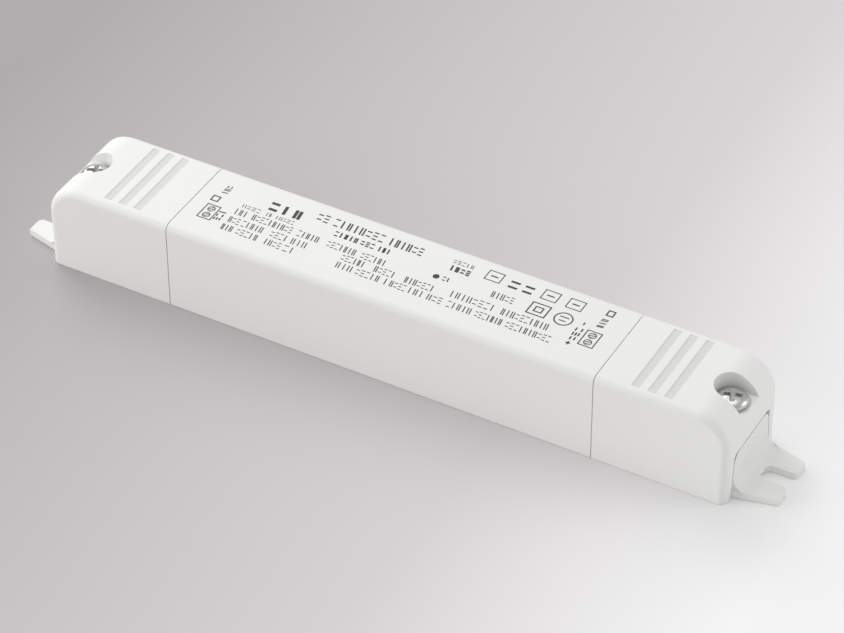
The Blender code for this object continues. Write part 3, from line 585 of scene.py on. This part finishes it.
def tray_plastic(settings):
    """White tray plastic, a little more matt than the shells."""
    finish = Finish("tray plastic")
    white = tuple(settings.tray_colour)
    base = finish.drift(white, size=0.02, amount=0.04)
    rub = use(finish.tree, edge_rub(), Vector=finish.place, Amount=0.4)["Mask"]
    finish.colour(blend_colours(finish.tree, rub, base, shade(white, 0.92)))
    finish.grain(settings.grain, settings.roughness + 0.05, change=0.35, depth=0.000005)
    return finish.material


class CASING_OT_shells(bpy.types.Operator):
    """Central housing and both end covers, with rounded moulded edges"""

    bl_idname = "led_driver.shells"
    bl_label = "Shells"

    def execute(self, context):
        settings = context.scene.driver_casing
        plastic = shell_plastic(settings)
        for node, name in (("central_housing", "housing_shell"), ("end_cover_output", "output_cover_shell"),
                           ("end_cover_input", "input_cover_shell")):
            softened(node, name, settings.edge, plastic,
                     settle=lambda place: self.settle(place, settings))
        return {"FINISHED"}

    def settle(self, place, settings):
        """Close the seams to a hair line and lay the bands just under the top."""
        hair = (SEAM_GAP - settings.seam) / 2
        out = math.copysign(1.0, place.x)
        if abs(abs(place.x) - SEAM) < TOUCH:
            place.x -= out * hair
        elif abs(abs(place.x) - (SEAM - SEAM_GAP)) < TOUCH:
            place.x += out * hair
        if abs(place.z - (TOP - BAND_DEPTH)) < TOUCH and abs(abs(place.x) - BAND_MIDDLE) < BAND_REACH:
            place.z = TOP - settings.band_depth


class CASING_OT_tray(bpy.types.Operator):
    """Base tray with its end walls and slotted tabs"""

    bl_idname = "led_driver.tray"
    bl_label = "Base tray"

    def execute(self, context):
        settings = context.scene.driver_casing
        softened("base_tray", "tray_moulding", settings.edge * TRAY_ROUNDING, tray_plastic(settings))
        return {"FINISHED"}


# Print on the central housing


# Each figure fills one place in a row: posts stand at a share of the place's width, rungs at a share of
# the row's height
FIGURES = (
    (("post", 0.0), ("post", 1.0)),
    (("rung", 0.0), ("rung", 1.0)),
    (("post", 0.5),),
    (("rung", 0.0), ("rung", 0.5), ("rung", 1.0)),
    (("post", 0.1), ("post", 0.9)),
    (("rung", 0.15), ("rung", 0.85)),
    (("post", 0.35),),
)

# Rows in millimetres: foot of the row, height and stroke width; then each group's start, places and pitch
ROWS = (
    (4.95, 2.3, 0.34, ((-22.2, 2, 1.5), (-18.4, 8, 1.45), (-6.0, 6, 1.3))),
    (2.35, 1.5, 0.34, ((-16.7, 5, 1.1), (-10.8, 3, 1.1), (-6.9, 3, 0.95))),
    (1.30, 1.1, 0.17, ((-37.0, 4, 1.1), (-31.6, 2, 0.7), (-29.5, 5, 0.9))),
    (-1.20, 1.8, 0.23, ((-37.4, 3, 1.0), (-33.4, 10, 0.93), (-23.1, 5, 1.0), (-16.4, 7, 0.94),
                        (-8.8, 6, 0.95))),
    (-3.90, 1.8, 0.23, ((-37.2, 3, 0.9), (-34.2, 5, 1.0), (-27.7, 4, 1.03), (-23.0, 3, 1.25))),
    (-3.50, 1.8, 0.23, ((-11.8, 6, 0.88), (-4.5, 5, 0.95), (2.2, 7, 0.95))),
    (-6.50, 1.8, 0.23, ((-37.3, 3, 0.9), (-33.9, 5, 1.0), (-27.6, 4, 1.0), (-23.2, 2, 1.4))),
    (-5.95, 1.8, 0.23, ((-11.7, 3, 1.3), (-7.3, 5, 1.1), (-0.9, 1, 0.5), (0.3, 4, 0.93), (4.3, 3, 1.2),
                        (8.5, 3, 1.15), (12.8, 5, 1.1), (18.9, 7, 0.85), (25.5, 10, 0.98))),
    (-3.05, 1.9, 0.23, ((12.1, 1, 0.5), (13.1, 7, 1.26), (23.0, 10, 1.03))),
    (6.25, 1.1, 0.18, ((7.8, 5, 0.94),)),
    (3.95, 1.6, 0.40, ((8.1, 4, 1.18),)),
    (0.55, 1.2, 0.28, ((8.4, 2, 0.9),)),
    (0.70, 1.8, 0.23, ((18.9, 5, 1.02),)),
)
# A figure leans by a share of its height and fills a share of its place. From place to place the figures
# are taken this many steps further down their list
LEAN = -0.14
FIGURE_WIDTH = 0.7
FIGURE_STEP = 5
MILLIMETRES = 1000
DISC_SIDES = 20
RING_SIDES = 28


class Marks:
    """Flat printed marks on the housing's top, gathered into one mesh; places in millimetres."""

    def __init__(self, settings):
        self.bm = bmesh.new()
        self.low = TOP
        self.high = TOP + settings.thickness
        self.line = settings.line * MILLIMETRES
        self.turn = 0

    def outline(self, points):
        """A thin prism of ink over an outline."""
        places = [(x / MILLIMETRES, y / MILLIMETRES) for x, y in points]
        bottom = [self.bm.verts.new((x, y, self.low)) for x, y in places]
        top = [self.bm.verts.new((x, y, self.high)) for x, y in places]
        self.bm.faces.new(top)
        self.bm.faces.new(bottom[::-1])
        bridge(self.bm, bottom, top)

    def bar(self, x0, x1, y, height):
        """A level bar about the line at y."""
        self.outline([(x0, y - height / 2), (x1, y - height / 2), (x1, y + height / 2), (x0, y + height / 2)])

    def frame(self, x0, x1, y0, y1, line):
        """An open rectangle."""
        self.bar(x0 - line / 2, x1 + line / 2, y0, line)
        self.bar(x0 - line / 2, x1 + line / 2, y1, line)
        for x in (x0, x1):
            self.bar(x - line / 2, x + line / 2, (y0 + y1) / 2, y1 - y0 - line)

    def stroke(self, x0, y0, x1, y1, width):
        """A straight stroke between two points."""
        along = Vector((x1 - x0, y1 - y0)).normalized()
        side = Vector((-along.y, along.x)) * width / 2
        self.outline([(x0 - side.x, y0 - side.y), (x1 - side.x, y1 - side.y),
                      (x1 + side.x, y1 + side.y), (x0 + side.x, y0 + side.y)])

    def disc(self, x, y, radius):
        """A filled dot."""
        turns = [2 * math.pi * i / DISC_SIDES for i in range(DISC_SIDES)]
        self.outline([(x + radius * math.cos(turn), y + radius * math.sin(turn)) for turn in turns])

    def ring(self, x, y, radius, line=None):
        """An open circle, drawn in short pieces."""
        inner = radius - (line or self.line)
        for i in range(RING_SIDES):
            a, b = (2 * math.pi * k / RING_SIDES for k in (i, i + 1))
            self.outline([(x + far * math.cos(turn), y + far * math.sin(turn))
                          for turn, far in ((a, inner), (a, radius), (b, radius), (b, inner))])

    def group(self, start, foot, places, pitch, height, stroke, upright=False):
        """A run of plain figures from a start along the driver, or across it where it is turned upright."""
        wide = pitch * FIGURE_WIDTH - stroke
        tall = height - stroke
        for place in range(places):
            self.turn += FIGURE_STEP
            for kind, part in FIGURES[self.turn % len(FIGURES)]:
                at = place * pitch + stroke / 2
                if kind == "post":
                    ends = ((at + part * wide, 0.0), (at + part * wide + LEAN * height, height))
                else:
                    rise = stroke / 2 + part * tall
                    lean = LEAN * rise
                    ends = ((at - stroke / 2 + lean, rise), (at + wide + stroke / 2 + lean, rise))
                (a, b), (c, d) = ends
                if upright:
                    self.stroke(start - b, foot + a, start - d, foot + c, stroke)
                else:
                    self.stroke(start + a, foot + b, start + c, foot + d, stroke)

    def terminal_diagram(self, x0, x1, y0, y1):
        """A box with the slotted heads of two clamp screws."""
        self.frame(x0, x1, y0, y1, line=0.24)
        tall = y1 - y0
        x = (x0 + x1) / 2
        radius = tall * 0.19
        reach = radius * 0.66
        for y in (y0 + tall * 0.27, y0 + tall * 0.73):
            self.ring(x, y, radius)
            for shift in (-0.17, 0.17):
                self.stroke(x - reach + shift, y - reach - shift, x + reach + shift, y + reach - shift, 0.2)


class PRINT_OT_marks(bpy.types.Operator):
    """Printed marks on the housing's top: rows of plain strokes, frames and the terminals' diagrams"""

    bl_idname = "led_driver.marks"
    bl_label = "Print"

    def execute(self, context):
        settings = context.scene.driver_print
        marks = Marks(settings)
        for foot, height, stroke, groups in ROWS:
            for start, places, pitch in groups:
                marks.group(start, foot, places, pitch, height, stroke)
        marks.group(-32.1, 3.2, 3, 2.65, 2.6, 0.72)
        self.input_side(marks)
        self.output_side(marks)
        self.symbols(marks)
        ink = moulded("print ink", settings.ink, patch=0.002, drift=0.5, grain=0.00015, roughness=0.55,
                      change=0.3, depth=0.000002)
        object_from("printed_marks", marks.bm, ink)
        return {"FINISHED"}

    def input_side(self, marks):
        """The print beside the input terminals."""
        marks.group(-41.6, 3.4, 3, 1.0, 1.4, 0.26, upright=True)
        marks.frame(-43.7, -42.2, 0.5, 2.0, 0.30)
        marks.terminal_diagram(-43.4, -40.5, -5.2, -0.8)
        marks.group(-38.7, -4.4, 3, 1.15, 1.5, 0.32, upright=True)

    def output_side(self, marks):
        """The print beside the output terminals."""
        marks.group(42.1, 2.7, 3, 1.0, 1.4, 0.26, upright=True)
        marks.frame(40.9, 42.2, 6.5, 8.0, 0.30)
        marks.terminal_diagram(39.9, 42.9, -3.5, 1.0)
        marks.group(39.1, -3.0, 3, 1.4, 1.5, 0.32, upright=True)
        marks.bar(37.7, 38.7, -4.2, 0.30)
        marks.bar(38.05, 38.35, -4.2, 1.0)
        marks.bar(38.25, 38.55, 2.2, 0.8)

    def symbols(self, marks):
        """The plain frames, bars, dot and ring between the rows."""
        marks.disc(6.95, 1.05, 0.68)
        for x in (15.3, 27.5, 32.9):
            marks.frame(x, x + 3.2, 5.0, 7.8, 0.22)
            marks.bar(x + 0.8, x + 2.4, 6.4, 0.34)
        for x in (20.4, 23.5):
            for y in (5.15, 6.75):
                marks.bar(x, x + 2.0, y, 0.55)
        marks.frame(27.0, 30.8, 0.0, 3.4, 0.28)
        marks.frame(28.1, 29.7, 1.0, 2.4, 0.28)
        marks.ring(34.3, 1.55, 1.95, 0.28)
        marks.bar(33.3, 35.3, 2.1, 0.26)
        marks.bar(33.6, 35.0, 1.0, 0.26)


# Cover screws


HEAD_SIDES = 72
HEAD_HEIGHT = 0.0019
HEAD_RIM = 0.0002
CROWN_HEIGHT = 0.0014
CROWN_FULLNESS = 0.78
RING_PITCH = 0.00014
RECESS_DEPTH = 0.0013
RECESS_TURN = 20
THREAD_CREST = 0.0014
THREAD_ROOT = 0.0011
THREAD_SIDES = 32
ROWS_PER_TURN = 12
TIP_LENGTH = 0.0016
TIP_START = 0.45


def plated_steel(settings):
    """Bright plating with faint turned rings about the screw's axis."""
    finish = Finish("bright zinc plating", metallic=1.0)
    tree = finish.tree
    off = calc(tree, "SUBTRACT", calc(tree, "ABSOLUTE", finish.x), SCREW_X)
    radius = calc(tree, "SQRT", calc(tree, "ADD", calc(tree, "MULTIPLY", off, off),
                                     calc(tree, "MULTIPLY", finish.y, finish.y)))
    rings = calc(tree, "SINE", calc(tree, "MULTIPLY", radius, 2 * math.pi / RING_PITCH))
    spots = noise(tree, finish.place, 2500.0, detail=3.0, roughness=0.6)
    finish.colour(finish.drift(tuple(settings.steel), size=0.0015, amount=0.25))
    finish.feed("Roughness", ramp(tree, spots, 0.3, 0.75, settings.roughness, settings.roughness + 0.22))
    finish.bump(calc(tree, "ADD", calc(tree, "MULTIPLY", rings, 0.3), spots), 0.000004)
    return finish.material


def revolved(profile, steps, centre):
    """Rings of vertices turned about an upright axis, closed at both ends."""
    bm = bmesh.new()
    rings = []
    for radius, z in profile:
        if radius < 1e-7:
            rings.append([bm.verts.new((centre, 0.0, z))] * steps)
            continue
        rings.append([bm.verts.new((centre + radius * math.cos(2 * math.pi * i / steps),
                                    radius * math.sin(2 * math.pi * i / steps), z)) for i in range(steps)])
    for lower, upper in zip(rings, rings[1:]):
        bridge(bm, lower, upper)
    bmesh.ops.recalc_face_normals(bm, faces=bm.faces)
    return bm


def cut_away(piece, cutter):
    """Take the cutter's form out of a piece for good."""
    step = piece.modifiers.new("cut", "BOOLEAN")
    step.operation = "DIFFERENCE"
    step.solver = "EXACT"
    step.object = cutter
    graph = bpy.context.evaluated_depsgraph_get()
    result = bpy.data.meshes.new_from_object(piece.evaluated_get(graph))
    piece.modifiers.clear()
    piece.data = result
    bpy.data.objects.remove(cutter)


class SCREW_OT_cover_screws(bpy.types.Operator):
    """Both cover screws: pan head with a cross slot, and a rolled thread on the shank"""

    bl_idname = "led_driver.cover_screws"
    bl_label = "Cover screws"

    def execute(self, context):
        settings = context.scene.driver_screws
        steel = plated_steel(settings)
        for side, end in ((1, "output"), (-1, "input")):
            self.screw(settings, steel, side * SCREW_X, f"cover_screw_{end}")
        return {"FINISHED"}

    def screw(self, settings, steel, centre, node):
        """A turned head with its cross cut in, on a threaded shank."""
        low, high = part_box(node)
        radius = (high.x - low.x) / 2
        top = high.z
        under = top - HEAD_HEIGHT
        head = [(0.0, under), (radius - HEAD_RIM, under), (radius - HEAD_RIM / 4, under + HEAD_RIM * 0.4),
                (radius, under + HEAD_RIM)]
        for angle in range(0, 90, 6):
            a = math.radians(angle)
            head.append((radius * math.cos(a) ** CROWN_FULLNESS,
                         top - CROWN_HEIGHT + CROWN_HEIGHT * math.sin(a)))
        head.append((0.0, top))
        piece = object_from(f"{node}_head", revolved(head, HEAD_SIDES, centre), steel)
        cut_away(piece, self.recess(settings, centre, top))
        smooth(piece, 32)
        thread = self.thread(settings, centre, low.z, under + HEAD_RIM)
        shank = object_from(f"{node}_shank", thread, steel)
        smooth(shank, 40)
        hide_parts(node)

    def recess(self, settings, centre, top):
        """The tapered cross that is cut from a head, turned as the photograph shows."""
        bm = bmesh.new()
        rings = []
        # Height, half width and reach of the cross, at its foot and over the crown
        for z, width, out in ((top - RECESS_DEPTH, settings.slot_width * 0.36, 0.0009),
                              (top + 0.0004, settings.slot_width * 0.62, 0.0024)):
            ring = []
            for quarter in range(4):
                spin = Matrix.Rotation(math.radians(RECESS_TURN + 90 * quarter), 4, "Z")
                for x, y in ((width, -width), (out, -width), (out, width)):
                    ring.append(bm.verts.new(spin @ Vector((x, y, z))))
            rings.append(ring)
        foot, mouth = rings
        bm.faces.new(foot[::-1])
        bm.faces.new(mouth)
        bridge(bm, foot, mouth)
        bmesh.ops.recalc_face_normals(bm, faces=bm.faces)
        bmesh.ops.translate(bm, verts=bm.verts, vec=(centre, 0.0, 0.0))
        return loose_object("recess", bm)

    def thread(self, settings, centre, low, high):
        """A shank whose radius follows a helix and narrows at the tip."""
        bm = bmesh.new()
        rows = int((high - low) / settings.thread_pitch * ROWS_PER_TURN)
        rings = []
        for row in range(rows + 1):
            z = low + (high - low) * row / rows
            tip = min(1.0, TIP_START + (z - low) / TIP_LENGTH)
            ring = []
            for i in range(THREAD_SIDES):
                phase = (z / settings.thread_pitch - i / THREAD_SIDES) % 1.0
                ridge = max(0.0, 1.0 - abs(phase - 0.5) * 3.2)
                radius = (THREAD_ROOT + (THREAD_CREST - THREAD_ROOT) * ridge) * tip
                angle = 2 * math.pi * i / THREAD_SIDES
                ring.append(bm.verts.new((centre + radius * math.cos(angle), radius * math.sin(angle), z)))
            rings.append(ring)
        for lower, upper in zip(rings, rings[1:]):
            bridge(bm, lower, upper)
        bm.faces.new(rings[0][::-1])
        bm.faces.new(rings[-1])
        bmesh.ops.recalc_face_normals(bm, faces=bm.faces)
        return bm


# Parts inside


CLAMP_STEEL = (0.66, 0.66, 0.64)
THERMISTOR_GREY = (0.03, 0.035, 0.03)
STRIPE_GREY = (0.55, 0.56, 0.58)
CAN_ALUMINIUM = (0.7, 0.71, 0.72)
STRIPE_REACH = 0.0011
CAN_END = 0.00012
WIRE_RADIUS = 0.000175
# Half the width of a wrap of tape, and where the next one's edge begins to cover it
TAPE_WRAP = 0.0019
TAPE_EDGE = 0.0017


class INSIDE_OT_circuit_board(bpy.types.Operator):
    """Circuit board: solder mask over copper tracks"""

    bl_idname = "led_driver.circuit_board"
    bl_label = "Circuit board"

    def execute(self, context):
        settings = context.scene.driver_inside
        finish = Finish("solder mask", coat=0.3)
        tree = finish.tree
        cells = put(tree, "ShaderNodeTexVoronoi", feature="DISTANCE_TO_EDGE")
        cells.inputs["Scale"].default_value = 170.0
        tree.links.new(finish.place, cells.inputs["Vector"])
        tracks = ramp(tree, cells.outputs["Distance"], 0.06, 0.09)
        green = tuple(settings.board)
        base = finish.drift(green, size=0.006, amount=0.15)
        finish.colour(blend_colours(tree, tracks, base, shade(green, 1.7)))
        finish.feed("Roughness", ramp(tree, tracks, 0.0, 1.0, 0.45, 0.32))
        finish.bump(calc(tree, "ADD", tracks, noise(tree, finish.place, 3000.0)), 0.00002)
        dress("circuit_board", finish.material)
        return {"FINISHED"}


class INSIDE_OT_terminals(bpy.types.Operator):
    """Terminal blocks with their brass cages and clamp screws"""

    bl_idname = "led_driver.terminals"
    bl_label = "Terminals"

    def execute(self, context):
        settings = context.scene.driver_inside
        green = moulded("terminal polyamide", settings.terminal, patch=0.003, drift=0.12, grain=0.0002,
                        roughness=0.45, change=0.3, depth=0.000005)
        brass = rolled("cage brass", settings.brass, patch=0.002, drift=0.3,
                       stretch=(900.0, 16000.0, 16000.0), roughness=0.3, change=0.4, depth=0.000006)
        steel = rolled("clamp screw steel", CLAMP_STEEL, patch=0.001, drift=0.3,
                       stretch=(12000.0, 1500.0, 12000.0), roughness=0.28, change=0.4, depth=0.000005)
        for end in ("output", "input"):
            dress(f"terminal_block_{end}", green)
            for number in (1, 2):
                dress(f"terminal_cage_{end}_{number}", brass)
                dress(f"terminal_screw_{end}_{number}", steel)
        return {"FINISHED"}


class INSIDE_OT_capacitors(bpy.types.Operator):
    """Electrolytic cans, film capacitor, dipped discs and the fuse"""

    bl_idname = "led_driver.capacitors"
    bl_label = "Capacitors and fuse"

    def execute(self, context):
        settings = context.scene.driver_inside
        self.cans(settings)
        self.dipped(settings)
        for node, name, base, grain in (
                ("suppression_capacitor", "film capacitor case", settings.film, 0.00025),
                ("fuse", "fuse case", settings.fuse, 0.0002)):
            dress(node, moulded(name, base, patch=0.002, drift=0.15, grain=grain, roughness=0.42,
                                change=0.4, depth=0.000006))
        return {"FINISHED"}

    def cans(self, settings):
        """Shrink sleeve with a pale stripe down one side and a bare aluminium end."""
        for node, lies in (("bulk_capacitor", True), ("output_capacitor", False)):
            low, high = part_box(node)
            middle = (low + high) / 2
            finish = Finish(f"{node} sleeve", coat=0.4)
            tree = finish.tree
            if lies:
                along, end, across, centre = finish.x, high.x, finish.z, middle.z
            else:
                along, end, across, centre = finish.z, high.z, finish.x, middle.x
            stripe = calc(tree, "MULTIPLY", near(tree, finish.y, middle.y, STRIPE_REACH),
                          calc(tree, "GREATER_THAN", across, centre))
            sleeve = finish.drift(tuple(settings.sleeve), size=0.004, amount=0.3)
            sleeved = blend_colours(tree, stripe, sleeve, STRIPE_GREY)
            bare = calc(tree, "GREATER_THAN", along, end - CAN_END)
            finish.colour(blend_colours(tree, bare, sleeved, CAN_ALUMINIUM))
            finish.feed("Metallic", bare)
            finish.grain(0.0006, 0.28, change=0.3, depth=0.000008)
            dress(node, finish.material)

    def dipped(self, settings):
        """Thick glossy epoxy on the discs, and a dull coating on the thermistor."""
        blue = moulded("dipped epoxy", settings.dipped, patch=0.003, drift=0.2, grain=0.0012, roughness=0.3,
                       change=0.3, depth=0.00006, coat=0.6)
        for node in ("varistor", "isolation_capacitor"):
            dress(node, blue)
        dress("inrush_thermistor", moulded("thermistor coating", THERMISTOR_GREY, patch=0.002, drift=0.4,
                                           grain=0.0008, roughness=0.5, change=0.4, depth=0.00004))


class INSIDE_OT_magnetics(bpy.types.Operator):
    """Transformer and filter choke: ferrite, bobbin, wire and tape"""

    bl_idname = "led_driver.magnetics"
    bl_label = "Magnetics"

    def execute(self, context):
        settings = context.scene.driver_inside
        ferrite = moulded("sintered ferrite", settings.ferrite, patch=0.0008, drift=0.5, grain=0.00012,
                          roughness=0.55, change=0.5, depth=0.00001)
        for node in ("filter_choke_core", "transformer_core_input", "transformer_core_output"):
            dress(node, ferrite)
        dress("transformer_bobbin", moulded("bobbin resin", settings.black, patch=0.002, drift=0.3,
                                            grain=0.0002, roughness=0.4, change=0.3, depth=0.000005))
        self.wire(settings)
        self.tape(settings)
        return {"FINISHED"}

    def wire(self, settings):
        """Enamelled wire: one ridge for each turn, up the coil, with painted shade in the grooves between the
        turns.
        """
        finish = Finish("enamelled copper wire", metallic=1.0, coat=0.5)
        tree = finish.tree
        copper = tuple(settings.copper)
        turn = calc(tree, "PINGPONG", finish.z, WIRE_RADIUS)
        ridge = calc(tree, "POWER", calc(tree, "MULTIPLY", turn, 1 / WIRE_RADIUS), 0.5)
        base = finish.drift(copper, size=0.001, amount=0.35)
        # painted shade: the copper is darkened to 0.35 of its colour in the grooves between the turns
        finish.colour(blend_colours(tree, ridge, shade(copper, 0.35), base))
        finish.feed("Roughness", ramp(tree, ridge, 0.0, 1.0, 0.55, 0.25))
        finish.bump(ridge, 0.00012)
        dress("filter_choke_winding", finish.material)

    def tape(self, settings):
        """Yellow tape in overlapping wraps, a little shiny."""
        finish = Finish("polyester tape", coat=0.5)
        tree = finish.tree
        yellow = tuple(settings.tape)
        wrap = calc(tree, "GREATER_THAN", calc(tree, "PINGPONG", finish.x, TAPE_WRAP), TAPE_EDGE)
        base = finish.drift(yellow, size=0.002, amount=0.18)
        finish.colour(blend_colours(tree, wrap, base, shade(yellow, 0.72)))
        wrinkles = noise(tree, finish.place, 450.0, detail=3.0, roughness=0.6)
        finish.feed("Roughness", ramp(tree, wrinkles, 0.3, 0.7, 0.25, 0.42))
        finish.bump(calc(tree, "ADD", wrinkles, calc(tree, "MULTIPLY", wrap, 0.4)), 0.00006)
        dress("transformer_winding", finish.material)


class INSIDE_OT_semiconductors(bpy.types.Operator):
    """Bridge, diode, transistor, chips and the heat spreader"""

    bl_idname = "led_driver.semiconductors"
    bl_label = "Semiconductors"

    def execute(self, context):
        settings = context.scene.driver_inside
        black = moulded("moulded epoxy", settings.black, patch=0.001, drift=0.4, grain=0.0001,
                        roughness=0.5, change=0.4, depth=0.000006)
        for node in ("bridge_rectifier", "output_diode", "power_transistor", "controller_chip"):
            dress(node, black)
        dress("optocoupler", moulded("pale epoxy", settings.pale, patch=0.002, drift=0.06, grain=0.0001,
                                     roughness=0.5, change=0.4, depth=0.000006))
        dress("heat_spreader", rolled("mill aluminium", settings.aluminium, patch=0.002, drift=0.12,
                                      stretch=(600.0, 14000.0, 14000.0), roughness=0.38, change=0.35,
                                      depth=0.000008))
        return {"FINISHED"}


class DRIVER_PT_pieces(bpy.types.Panel):
    """Everything that the driver's looks are made of"""

    bl_idname = "DRIVER_PT_pieces"
    bl_label = "LED driver"
    bl_space_type = "VIEW_3D"
    bl_region_type = "UI"
    bl_category = "LED driver"

    def draw(self, context):
        for step in STEPS:
            self.layout.operator(step.bl_idname, text=step.bl_label)


STEPS = (STAGE_OT_light_and_camera, CASING_OT_shells, CASING_OT_tray, PRINT_OT_marks,
         SCREW_OT_cover_screws, INSIDE_OT_circuit_board, INSIDE_OT_terminals, INSIDE_OT_capacitors,
         INSIDE_OT_magnetics, INSIDE_OT_semiconductors)
SETTINGS = (("driver_casing", CasingSettings), ("driver_print", PrintSettings),
            ("driver_screws", ScrewSettings), ("driver_inside", InsideSettings),
            ("driver_stage", StageSettings))


def register():
    for name, group in SETTINGS:
        bpy.utils.register_class(group)
        setattr(bpy.types.Scene, name, PointerProperty(type=group))
    for step in STEPS:
        bpy.utils.register_class(step)
    bpy.utils.register_class(DRIVER_PT_pieces)


def unregister():
    bpy.utils.unregister_class(DRIVER_PT_pieces)
    for step in reversed(STEPS):
        bpy.utils.unregister_class(step)
    for name, group in reversed(SETTINGS):
        delattr(bpy.types.Scene, name)
        bpy.utils.unregister_class(group)


def main():
    """Make the stage and the driver's pieces."""
    register()
    bpy.ops.led_driver.stage()
    bpy.ops.led_driver.shells()
    bpy.ops.led_driver.tray()
    bpy.ops.led_driver.marks()
    bpy.ops.led_driver.cover_screws()
    bpy.ops.led_driver.circuit_board()
    bpy.ops.led_driver.terminals()
    bpy.ops.led_driver.capacitors()
    bpy.ops.led_driver.magnetics()
    bpy.ops.led_driver.semiconductors()


if __name__ == "__main__":
    main()
